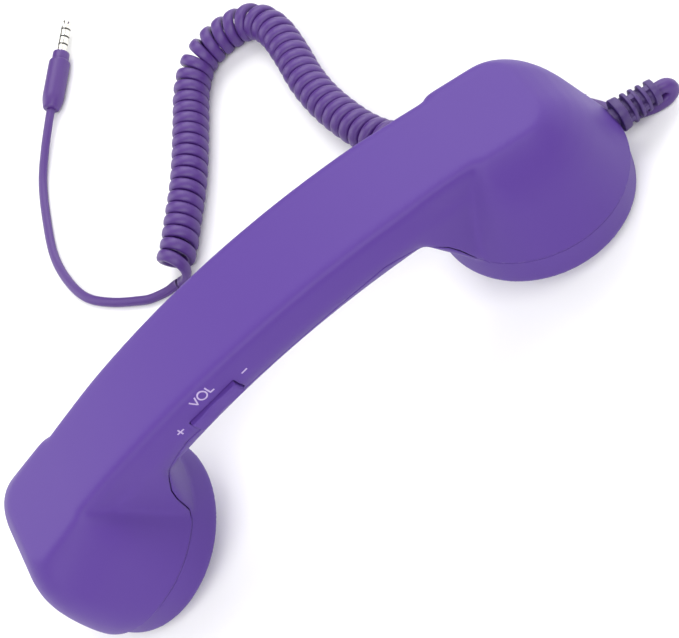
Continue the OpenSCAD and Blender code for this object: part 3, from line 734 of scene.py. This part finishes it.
def surface_net(field):
    inside = field < 0
    shape = np.array(field.shape) - 1
    count = np.zeros(shape, int)
    total = np.zeros((*shape, 3))
    for axis in range(3):
        others = [i for i in range(3) if i != axis]
        a = np.moveaxis(field, axis, 0)[:-1]
        b = np.moveaxis(field, axis, 0)[1:]
        cross = (a < 0) != (b < 0)
        share = np.where(cross, a / np.where(cross, a - b, 1), 0)
        cross, share = np.moveaxis(cross, 0, axis), np.moveaxis(share, 0, axis)
        for p in (0, 1):
            for q in (0, 1):
                cut = [slice(None)] * 3
                cut[others[0]] = slice(p, p + shape[others[0]])
                cut[others[1]] = slice(q, q + shape[others[1]])
                hit = cross[tuple(cut)]
                count += hit
                total[..., axis] += np.where(hit, share[tuple(cut)], 0)
                total[..., others[0]] += hit * p
                total[..., others[1]] += hit * q
    active = count > 0
    number = np.full(shape, -1)
    number[active] = np.arange(active.sum())
    corner = np.argwhere(active)
    points = (corner + total[active] / count[active][:, None]) * CELL + ORIGIN
    quads = []
    for axis in range(3):
        others = [i for i in range(3) if i != axis]
        a = np.moveaxis(inside, axis, 0)[:-1]
        b = np.moveaxis(inside, axis, 0)[1:]
        edge = np.argwhere(np.moveaxis(a != b, 0, axis))
        edge = edge[(edge[:, others[0]] > 0) & (edge[:, others[1]] > 0)]
        near = inside[tuple(edge.T)]
        cells = []
        for p, q in ((0, 0), (1, 0), (1, 1), (0, 1)):
            spot = edge.copy()
            spot[:, others[0]] -= p
            spot[:, others[1]] -= q
            cells.append(number[tuple(spot.T)])
        quad = np.column_stack(cells)
        flip = near if axis != 1 else ~near
        quad[flip] = quad[flip][:, ::-1]
        quads.append(quad)
    return points, np.vstack(quads)


UPPER_FIELD = blurred(whole(*UPPER), 1.0)
LOWER_FIELD = blurred(whole(*LOWER), 1.0)
print("whole grid:", UPPER_FIELD.shape)

# %% [markdown]
# The seam is a line in the side view that was read from the photograph: level along the handle, then down
# the neck and round each rim. Its distance is measured in the side view, so that the gap is the same
# everywhere. The skin is cut along that line with new points exactly on it, and the last quarter of a
# millimetre is rolled inwards, as the edge of a real moulding is.

# %% Seam between the shells
SEAM_MID = float(back_z(0)) - SIDE_DROP - 4.9
SEAM_LINE = np.array([
    (0, SEAM_MID), (NECK_X - 19, SEAM_MID), (NECK_X - 15.5, SEAM_MID - 1.3), (NECK_X - 12.5, SEAM_MID - 2.8),
    (NECK_X - 9.5, SEAM_MID - 4.8), (NECK_X - 6.5, SEAM_MID - 7.8), (NECK_X - 4, SEAM_MID - 11.6),
    (NECK_X - 2.6, SEAM_MID - 16), (NECK_X - 1.8, SEAM_MID - 21), (NECK_X - 1.2, SEAM_MID - 24.3),
    (NECK_X + 0.5, rim_plane_z(NECK_X + 0.5)), (125, rim_plane_z(125)),
])


def seam_distance(points):
    """Distance to the seam in the side view, positive above it."""
    x, z = np.abs(points[:, 0]), points[:, 2]
    best = np.full(len(x), 1e9)
    for a, b in zip(SEAM_LINE[:-1], SEAM_LINE[1:]):
        edge = b - a
        t = np.clip(((x - a[0]) * edge[0] + (z - a[1]) * edge[1]) / (edge @ edge), 0, 1)
        best = np.minimum(best, (x - a[0] - t * edge[0]) ** 2 + (z - a[1] - t * edge[1]) ** 2)
    above = z > np.interp(x, SEAM_LINE[:, 0], SEAM_LINE[:, 1])
    return np.where(above, 1, -1) * np.sqrt(best)


def cut_mesh(points, tris, value):
    """Keeps the part where value is positive, with new points where it is zero."""
    keep = value > 0
    count = keep[tris].sum(1)
    whole_tris = tris[count == 3]
    one, two = tris[count == 1], tris[count == 2]
    first = np.argmax(keep[one], axis=1)
    one = np.column_stack([one[np.arange(len(one)), (first + i) % 3] for i in range(3)])
    first = np.argmax(~keep[two], axis=1)
    two = np.column_stack([two[np.arange(len(two)), (first + i) % 3] for i in range(3)])
    edges = np.vstack([one[:, [0, 1]], one[:, [0, 2]], two[:, [0, 1]], two[:, [0, 2]]])
    low, high = edges.min(1), edges.max(1)
    unique, back = np.unique(low.astype(np.int64) * len(points) + high, return_inverse=True)
    p, q = unique // len(points), unique % len(points)
    t = (value[p] / (value[p] - value[q]))[:, None]
    made = points[p] * (1 - t) + points[q] * t
    back = back.ravel() + len(points)
    n1, n2 = len(one), len(two)
    e1, e2, e3, e4 = back[:n1], back[n1:2 * n1], back[2 * n1:2 * n1 + n2], back[2 * n1 + n2:]
    tris = np.vstack([
        whole_tris, np.column_stack([one[:, 0], e1, e2]), np.column_stack([e3, two[:, 1], two[:, 2]]),
        np.column_stack([e3, two[:, 2], e4]),
    ])
    points = np.vstack([points, made])
    used = np.unique(tris)
    number = np.full(len(points), -1)
    number[used] = np.arange(len(used))
    return points[used], number[tris]


def snapped(points, field, slope, value_at, level, near=0.22):
    """Points close to a cut are moved onto it, so that the cut leaves no slivers."""
    for _ in range(3):
        value = value_at(points) - level
        close = np.abs(value) < near
        step = 0.02
        gx = (value_at(points[close] + (step, 0, 0)) - value_at(points[close] - (step, 0, 0))) / (2 * step)
        gz = (value_at(points[close] + (0, 0, step)) - value_at(points[close] - (0, 0, step))) / (2 * step)
        size = np.maximum(gx ** 2 + gz ** 2, 1e-3)
        moved = points[close].copy()
        moved[:, 0] -= value[close] * gx / size
        moved[:, 2] -= value[close] * gz / size
        points[close] = onto_skin(moved, field, slope, rounds=1)
    return points


def shell_skin(field, sign):
    gap, roll = 0.15, 0.28
    slope = slopes(field)
    points, quads = surface_net(field)
    points = onto_skin(points, field, slope)
    tris = np.vstack([quads[:, [0, 1, 2]], quads[:, [0, 2, 3]]])
    rough = sign * seam_distance(points)
    used = (rough[tris] > -3 * CELL).any(1)
    tris = tris[used]
    keep = np.unique(tris)
    number = np.full(len(points), -1)
    number[keep] = np.arange(len(keep))
    points, tris = points[keep], number[tris]
    points = snapped(points, field, slope, lambda p: sign * seam_distance(p), gap + roll)
    value = sign * seam_distance(points) - gap - roll
    value[np.abs(value) < 0.01] = 0.0005
    upper_points, upper_tris = cut_mesh(points, tris, value)
    strip_points, strip_tris = cut_mesh(points, tris, -value)
    strip_points, strip_tris = cut_mesh(strip_points, strip_tris, sign * seam_distance(strip_points) - gap)
    tris = np.vstack([upper_tris, strip_tris + len(upper_points)])
    points = np.vstack([upper_points, strip_points])
    points = onto_skin(points, field, slope, rounds=1)
    near = np.clip((gap + roll - sign * seam_distance(points)) / roll, 0, 1)
    way = unit_rows(np.column_stack([sampled(g, points) for g in slope]))
    points = points - (roll * (1 - np.sqrt(1 - near ** 2 * 0.999)))[:, None] * way
    return points, tris


def finished(piece, *modifiers):
    """Applies modifiers to a piece and puts the result into its mesh."""
    for kind, values in modifiers:
        modifier = piece.modifiers.new(kind.lower(), kind)
        for key, value in values.items():
            setattr(modifier, key, value)
    bpy.context.view_layer.update()
    seen = piece.evaluated_get(bpy.context.evaluated_depsgraph_get())
    mesh = bpy.data.meshes.new_from_object(seen)
    piece.modifiers.clear()
    old = piece.data
    piece.data = mesh
    bpy.data.meshes.remove(old)
    mesh.name = piece.name
    return piece


def mouth_distance(points):
    """Positive outside the disc that is left open in the lower face of each cup."""
    dx, dz = np.abs(points[:, 0]) - FACE_X * 1000, points[:, 2] - FACE_Z * 1000
    across = dx * math.cos(TILT) - dz * math.sin(TILT)
    up = dx * math.sin(TILT) + dz * math.cos(TILT)
    return np.maximum(np.hypot(across, points[:, 1]) - CUP_R + 1.8, up - 0.8)


def make_shell(name, field, sign):
    points, tris = shell_skin(field, sign)
    if sign < 0:
        points, tris = cut_mesh(points, tris, mouth_distance(points))
    shell = add_mesh(name, points * MM, tris)
    made = bmesh.new()
    made.from_mesh(shell.data)
    bmesh.ops.remove_doubles(made, verts=made.verts, dist=2e-6)
    bmesh.ops.dissolve_degenerate(made, edges=made.edges, dist=1e-6)
    bmesh.ops.recalc_face_normals(made, faces=made.faces)
    made.to_mesh(shell.data)
    made.free()
    return shell


back_skin = make_shell("back_housing", UPPER_FIELD, 1)
front_skin = make_shell("front_housing", LOWER_FIELD, -1)
print("skins:", len(back_skin.data.polygons), len(front_skin.data.polygons), "triangles")

# %% [markdown]
# A skin becomes a shell when it gets a thickness. Then the openings are cut: the rocker's slot, the hole
# that the strain relief sits in and the button's slot in the palm side. Boolean cuts need closed solids
# on both sides, which the thickened skins are.

# %% Cutters for the openings
def rounded_box(name, size, radius, place, segments=4):
    made = bmesh.new()
    bmesh.ops.create_cube(made, size=1.0)
    for v in made.verts:
        v.co = Vector((v.co.x * size[0], v.co.y * size[1], v.co.z * size[2]))
    bmesh.ops.bevel(made, geom=made.edges[:], offset=radius, segments=segments, profile=0.5, affect="EDGES")
    mesh = bpy.data.meshes.new(name)
    made.to_mesh(mesh)
    made.free()
    mesh.transform(place)
    cutter = bpy.data.objects.new(name, mesh)
    bpy.context.scene.collection.objects.link(cutter)
    return cutter


def round_cutter(name, radius, low, high, place, sides):
    made = bmesh.new()
    bmesh.ops.create_cone(made, cap_ends=True, segments=sides, radius1=radius, radius2=radius,
                          depth=high - low)
    mesh = bpy.data.meshes.new(name)
    made.to_mesh(mesh)
    made.free()
    mesh.transform(place @ Matrix.Translation((0, 0, (low + high) / 2)))
    cutter = bpy.data.objects.new(name, mesh)
    bpy.context.scene.collection.objects.link(cutter)
    return cutter


def cut_away(piece, cutters):
    for cutter in cutters:
        before = len(piece.data.polygons)
        finished(piece, ("BOOLEAN", {"object": cutter, "operation": "DIFFERENCE", "solver": "EXACT"}))
        print(piece.name, "cut by", cutter.name, before, "to", len(piece.data.polygons), "faces")
        bpy.data.objects.remove(cutter)


# %% Slot sizes and places
ROCKER_X = -21.8
ROCKER_LONG, ROCKER_HIGH = 16.4, 4.6
ROCKER_Z = float(back_z(ROCKER_X)) - SIDE_DROP - 0.7
ROCKER_SLOPE = math.asin(-ROCKER_X / BACK_RADIUS)
SLOT_GAP = 0.4
BUTTON_X = -30.0
BUTTON_LONG, BUTTON_WIDE = 13.0, 6.4
BUTTON_SLOPE = math.asin(-BUTTON_X / BACK_RADIUS)
PALM_Z = float(back_z(BUTTON_X)) - SIDE_DROP - PALM_DEEP - PALM_GROW * float(towards_cup(BUTTON_X))


def place_at(x, y, z, slope):
    return Matrix.Translation((x * MM, y * MM, z * MM)) @ Matrix.Rotation(-slope, 4, "Y")


ROCKER_PLACE = place_at(ROCKER_X, -17.3, ROCKER_Z, ROCKER_SLOPE)
BUTTON_PLACE = place_at(BUTTON_X, 0, PALM_Z, BUTTON_SLOPE)
print("rocker at z =", round(ROCKER_Z, 2), "mm, button at z =", round(PALM_Z, 2), "mm")

# %% Thicken and cut the shells
def closed_shell(piece):
    return finished(piece, ("SOLIDIFY", {"thickness": WALL * MM, "offset": -1.0, "use_rim": True}))


def relief_hole():
    return round_cutter("hole", 2.75 * MM, -6 * MM, 4 * MM, relief_matrix(), 48)


def cut_shells():
    closed_shell(back_skin)
    closed_shell(front_skin)
    long, high = (ROCKER_LONG + 2 * SLOT_GAP) * MM, (ROCKER_HIGH + 2 * SLOT_GAP) * MM
    slot = rounded_box("slot", (long, 8 * MM, high), 0.5 * MM, ROCKER_PLACE)
    cut_away(back_skin, [slot, relief_hole()])
    long, wide = (BUTTON_LONG + 0.7) * MM, (BUTTON_WIDE + 0.7) * MM
    button_slot = rounded_box("button_slot", (long, wide, 9 * MM), 3.0 * MM, BUTTON_PLACE, 8)
    cut_away(front_skin, [relief_hole(), button_slot])
    for piece in (back_skin, front_skin):
        piece.data.set_sharp_from_angle(angle=math.radians(38))
        print(piece.name, "now has", len(piece.data.polygons), "faces")


cut_shells()
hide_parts("back_shell")
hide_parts("front_shell")

# %% [markdown]
# The rocker is one bar that tilts on a pin in its middle. Its face dips slightly in the middle, so a
# thumb finds the louder and the quieter end without looking. The bar is lofted from its outline in plan,
# with soft edges.

# %% Volume rocker
def make_rocker():
    rows = 49
    half, high = ROCKER_LONG / 2, ROCKER_HIGH / 2
    points, faces = [], []
    ring = [(-high, 3.0), (-high, 0.45)]
    ring += [(-high + 0.45 * (1 - math.cos(a)), 0.45 * (1 - math.sin(a))) for a in np.radians((30, 60, 90))]
    ring += [(-y, d) for y, d in ring[::-1]]
    for i in range(rows):
        x = half * math.sin((i / (rows - 1) - 0.5) * math.pi)
        end = max(0.0, (abs(x) - half + 0.7) / 0.7)
        drop = 0.45 * math.exp(-(x / 3.6) ** 2) + 0.7 * (1 - math.sqrt(max(0.0, 1 - end ** 2)))
        for z, depth in ring:
            face_y = -(1.1 - drop) + max(depth, 0)
            points.append((x * MM, min(face_y, 3.0) * MM if depth < 3 else 3.0 * MM, z * MM))
    n = len(ring)
    for j in range(rows - 1):
        for k in range(n):
            m = (k + 1) % n
            faces.append((j * n + k, j * n + m, (j + 1) * n + m, (j + 1) * n + k))
    faces.append(tuple(range(n)))
    faces.append(tuple((rows - 1) * n + k for k in range(n))[::-1])
    rocker = add_mesh("rocker_key", points, faces, body="rocker")
    rocker.data.transform(ROCKER_PLACE)
    face_outwards(rocker)
    rocker.data.set_sharp_from_angle(angle=math.radians(50))
    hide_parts("volume_rocker")
    return rocker


rocker = make_rocker()
print("rocker spans", [round(v, 4) for v in rocker.bound_box[0]], [round(v, 4) for v in rocker.bound_box[6]])

# %% [markdown]
# The marks beside the rocker are thin printed lines: a plus and a minus for louder and quieter, and a
# short word for volume. Each line is given in the side view, in millimetres, and laid on the skin point
# by point. It becomes a flat closed ribbon that stands out by a few hundredths of a millimetre.

# %% Printed marks
ROUND_MARK = [(-22.13 + 1.33 * math.cos(a), 57.54 + 1.33 * math.sin(a))
              for a in np.radians(range(0, 360, 15))]
MARKS = [
    [(-34.0, 54.1), (-33.85, 51.95)], [(-35.0, 53.0), (-32.7, 53.1)], [(-10.7, 54.6), (-8.7, 54.75)],
    [(-26.1, 58.35), (-24.8, 56.2), (-24.0, 58.6)], [(-20.2, 58.85), (-19.95, 56.65), (-18.65, 56.7)],
]


def stroke_rows(line, closed):
    line = np.array(line + [line[0]] if closed else line)
    reach = np.concatenate([[0], np.cumsum(np.linalg.norm(np.diff(line, axis=0), axis=1))])
    marks = np.unique(np.concatenate([reach, np.linspace(0, reach[-1], int(reach[-1] / 0.25) + 2)]))
    rows = np.column_stack([np.interp(marks, reach, line[:, i]) for i in range(2)])
    way = np.gradient(rows, axis=0)
    if closed:
        rows, way = rows[:-1], (np.roll(rows[:-1], -1, axis=0) - np.roll(rows[:-1], 1, axis=0))
    way = way / np.linalg.norm(way, axis=1, keepdims=True)
    return rows, np.column_stack([-way[:, 1], way[:, 0]])


def make_marks(half_wide=0.21, proud=0.03):
    mesh = back_skin.data
    tree = BVHTree.FromPolygons([v.co for v in mesh.vertices], [p.vertices for p in mesh.polygons])
    points, faces = [], []
    for line, closed in [(line, False) for line in MARKS] + [(ROUND_MARK, True)]:
        rows, across = stroke_rows(line, closed)
        start, count = len(points), len(rows)
        for row, side in zip(rows, across):
            for x, z in (row - half_wide * side, row + half_wide * side):
                spot, normal, _, _ = tree.ray_cast(Vector((x * MM, -0.05, z * MM)), Vector((0, 1, 0)))
                points += [spot - normal * 0.1 * MM, spot + normal * proud * MM]
        for j in range(count if closed else count - 1):
            a, b = start + 4 * j, start + 4 * ((j + 1) % count)
            faces += [(a, b, b + 1, a + 1), (a + 1, b + 1, b + 3, a + 3), (a + 3, b + 3, b + 2, a + 2),
                      (a + 2, b + 2, b, a)]
        if not closed:
            end = start + 4 * (count - 1)
            faces += [(start, start + 1, start + 3, start + 2), (end, end + 2, end + 3, end + 1)]
    marks = add_mesh("printed_marks", points, faces, smooth=False)
    face_outwards(marks)
    return marks


marks = make_marks()
print("marks faces:", len(marks.data.polygons))

# %% [markdown]
# The finishes come next. The housing is a soft-touch plastic: its colour is even, its grain very fine,
# and it scatters light widely. The grain and the faint mottling of the colour are effects that several
# finishes share, so they are one node group that is built once, with inputs for scale and strength.

# %% Shader groups
def group_socket(group, name, kind, way, value=None):
    made = group.interface.new_socket(name=name, in_out=way, socket_type=kind)
    if value is not None:
        made.default_value = value
    return made


def make_grain_group():
    """A fine moulded grain: gives a height, and a mottled colour from two shades."""
    group = bpy.data.node_groups.new("moulded_grain", "ShaderNodeTree")
    group_socket(group, "Colour", "NodeSocketColor", "INPUT", (0.5, 0.5, 0.5, 1))
    group_socket(group, "Shade", "NodeSocketColor", "INPUT", (0.4, 0.4, 0.4, 1))
    group_socket(group, "Grain Scale", "NodeSocketFloat", "INPUT", 4000.0)
    group_socket(group, "Mottle Scale", "NodeSocketFloat", "INPUT", 60.0)
    group_socket(group, "Mottle", "NodeSocketFloat", "INPUT", 0.2)
    group_socket(group, "Roughness", "NodeSocketFloat", "INPUT", 0.5)
    group_socket(group, "Colour", "NodeSocketColor", "OUTPUT")
    group_socket(group, "Height", "NodeSocketFloat", "OUTPUT")
    group_socket(group, "Roughness", "NodeSocketFloat", "OUTPUT")
    nodes, links = group.nodes, group.links
    inputs, outputs = nodes.new("NodeGroupInput"), nodes.new("NodeGroupOutput")
    place = nodes.new("ShaderNodeTexCoord")
    fine = nodes.new("ShaderNodeTexNoise")
    fine.inputs["Detail"].default_value = 2
    broad = nodes.new("ShaderNodeTexNoise")
    broad.inputs["Detail"].default_value = 3
    mix = nodes.new("ShaderNodeMix")
    mix.data_type = "RGBA"
    amount = nodes.new("ShaderNodeMath")
    amount.operation = "MULTIPLY"
    rough = nodes.new("ShaderNodeMath")
    rough.operation = "MULTIPLY_ADD"
    rough.inputs[1].default_value = 0.08
    links.new(place.outputs["Object"], fine.inputs["Vector"])
    links.new(place.outputs["Object"], broad.inputs["Vector"])
    links.new(inputs.outputs["Grain Scale"], fine.inputs["Scale"])
    links.new(inputs.outputs["Mottle Scale"], broad.inputs["Scale"])
    links.new(broad.outputs["Fac"], amount.inputs[0])
    links.new(inputs.outputs["Mottle"], amount.inputs[1])
    links.new(amount.outputs[0], mix.inputs["Factor"])
    links.new(inputs.outputs["Colour"], mix.inputs["A"])
    links.new(inputs.outputs["Shade"], mix.inputs["B"])
    links.new(mix.outputs["Result"], outputs.inputs["Colour"])
    links.new(fine.outputs["Fac"], outputs.inputs["Height"])
    links.new(fine.outputs["Fac"], rough.inputs[0])
    links.new(inputs.outputs["Roughness"], rough.inputs[2])
    links.new(rough.outputs[0], outputs.inputs["Roughness"])
    return group


GRAIN = make_grain_group()
print("group inputs:", [s.name for s in GRAIN.interface.items_tree if s.in_out == "INPUT"])


# %% Finishes
MOTTLE = 0.3


def grained(name, colour, shade, roughness, grain=4000.0, height=0.00002, mottle_scale=60.0, metallic=0.0,
            specular=0.5):
    finish = bpy.data.materials.new(name)
    finish.use_nodes = True
    nodes, links = finish.node_tree.nodes, finish.node_tree.links
    shader = nodes["Principled BSDF"]
    group = nodes.new("ShaderNodeGroup")
    group.node_tree = GRAIN
    group.inputs["Colour"].default_value = (*colour, 1)
    group.inputs["Shade"].default_value = (*shade, 1)
    group.inputs["Grain Scale"].default_value = grain
    group.inputs["Mottle Scale"].default_value = mottle_scale
    group.inputs["Mottle"].default_value = MOTTLE
    group.inputs["Roughness"].default_value = roughness - 0.04
    bump = nodes.new("ShaderNodeBump")
    bump.inputs["Strength"].default_value = 1.0
    bump.inputs["Distance"].default_value = height
    links.new(group.outputs["Colour"], shader.inputs["Base Color"])
    links.new(group.outputs["Roughness"], shader.inputs["Roughness"])
    links.new(group.outputs["Height"], bump.inputs["Height"])
    links.new(bump.outputs["Normal"], shader.inputs["Normal"])
    shader.inputs["Metallic"].default_value = metallic
    shader.inputs["Specular IOR Level"].default_value = specular
    return finish


PURPLE = grained("soft_touch_purple", (0.079, 0.030, 0.243), (0.073, 0.027, 0.228), 0.52, specular=0.35)
CORD_PURPLE = grained("satin_cord_purple", (0.072, 0.024, 0.185), (0.062, 0.020, 0.165), 0.42, grain=2500,
                      mottle_scale=150)
RELIEF_PURPLE = grained("relief_purple", (0.057, 0.024, 0.146), (0.048, 0.020, 0.125), 0.5, grain=2500)
CHARCOAL = grained("charcoal_plastic", (0.02, 0.02, 0.022), (0.03, 0.03, 0.032), 0.55)
RUBBER = grained("black_rubber", (0.015, 0.015, 0.016), (0.022, 0.022, 0.022), 0.7)
STEEL = grained("bright_steel", (0.62, 0.62, 0.64), (0.52, 0.52, 0.55), 0.25, metallic=1.0, mottle_scale=300)
CONTACT = grained("plated_contact", (0.78, 0.76, 0.71), (0.70, 0.68, 0.62), 0.18, metallic=1.0,
                  mottle_scale=500)
BOARD = grained("board_laminate", (0.02, 0.14, 0.06), (0.015, 0.10, 0.05), 0.4)
PRINT = grained("pale_print", (0.42, 0.33, 0.56), (0.38, 0.30, 0.52), 0.5, height=0.000005)


def paint(finish, *pieces):
    for piece in pieces:
        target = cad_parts[piece] if isinstance(piece, str) else piece
        target.data.materials.clear()
        target.data.materials.append(finish)


paint(PURPLE, back_skin, front_skin, rocker, "ear_cap", "mouth_cap", "answer_button", "rocker_bracket")
paint(CORD_PURPLE, cord, grip, collar)
paint(RELIEF_PURPLE, relief)
paint(PRINT, marks)
paint(CHARCOAL, "receiver_basket", "receiver_diaphragm", "controller_chip", "volume_switches",
      "answer_switch", "plug_insulators")
paint(RUBBER, "receiver_gasket", "microphone_boot", "receiver_lead", "microphone_lead")
paint(STEEL, "receiver_magnet", "microphone_capsule", "housing_screws")
paint(CONTACT, "plug_sleeve", "plug_rings", "plug_tip")
paint(BOARD, "circuit_board")
print("finishes:", len(bpy.data.materials))

# %% [markdown]
# The studio is a white floor that runs out of view, with a ring of large soft panels. Each panel is given
# by its bearing, its height in degrees and its power in watts. The strongest hang at mid height, which
# keeps the shadows on the floor faint.

# %% Floor and lights
def make_floor():
    mesh = bpy.data.meshes.new("floor")
    reach = 3.0
    mesh.from_pydata([(-reach, -reach, 0), (reach, -reach, 0), (reach, reach, 0), (-reach, reach, 0)], [],
                     [(0, 1, 2, 3)])
    floor = bpy.data.objects.new("floor", mesh)
    bpy.context.scene.collection.objects.link(floor)
    finish = bpy.data.materials.new("floor_white")
    finish.use_nodes = True
    shader = finish.node_tree.nodes["Principled BSDF"]
    shader.inputs["Base Color"].default_value = (0.93, 0.93, 0.93, 1)
    shader.inputs["Roughness"].default_value = 0.9
    floor.data.materials.append(finish)
    return floor


def add_panel(name, place, aim, size, power):
    data = bpy.data.lights.new(name, "AREA")
    data.shape = "RECTANGLE"
    data.size, data.size_y = size
    data.energy = power
    panel = bpy.data.objects.new(name, data)
    panel.location = place
    way = Vector(aim) - Vector(place)
    panel.rotation_euler = way.to_track_quat("-Z", "Y").to_euler()
    bpy.context.scene.collection.objects.link(panel)
    return panel


PANELS = [
    (0, 20, 4.0), (45, 20, 5.1), (135, 20, 5.7), (180, 20, 2.0), (225, 20, 3.7),
    (60, 50, 7.9), (120, 50, 2.7), (240, 50, 6.8), (300, 50, 8.4),
]


def make_studio(distance=1.2):
    make_floor()
    middle = Vector((0, 0.04, 0.03))
    for bearing, height, power in PANELS:
        turn, lift = math.radians(bearing), math.radians(height)
        way = Vector((math.cos(turn) * math.cos(lift), math.sin(turn) * math.cos(lift), math.sin(lift)))
        add_panel(f"panel_{bearing}_{height}", middle + way * distance, middle, (0.9, 0.9), power)
    world = bpy.data.worlds.new("studio")
    world.use_nodes = True
    sky = world.node_tree.nodes["Background"]
    sky.inputs["Color"].default_value = (1, 1, 1, 1)
    sky.inputs["Strength"].default_value = 0.04
    bpy.context.scene.world = world
    bpy.context.scene.view_settings.view_transform = "Standard"


make_studio()

# %% [markdown] Update the scene

bpy.context.view_layer.update()
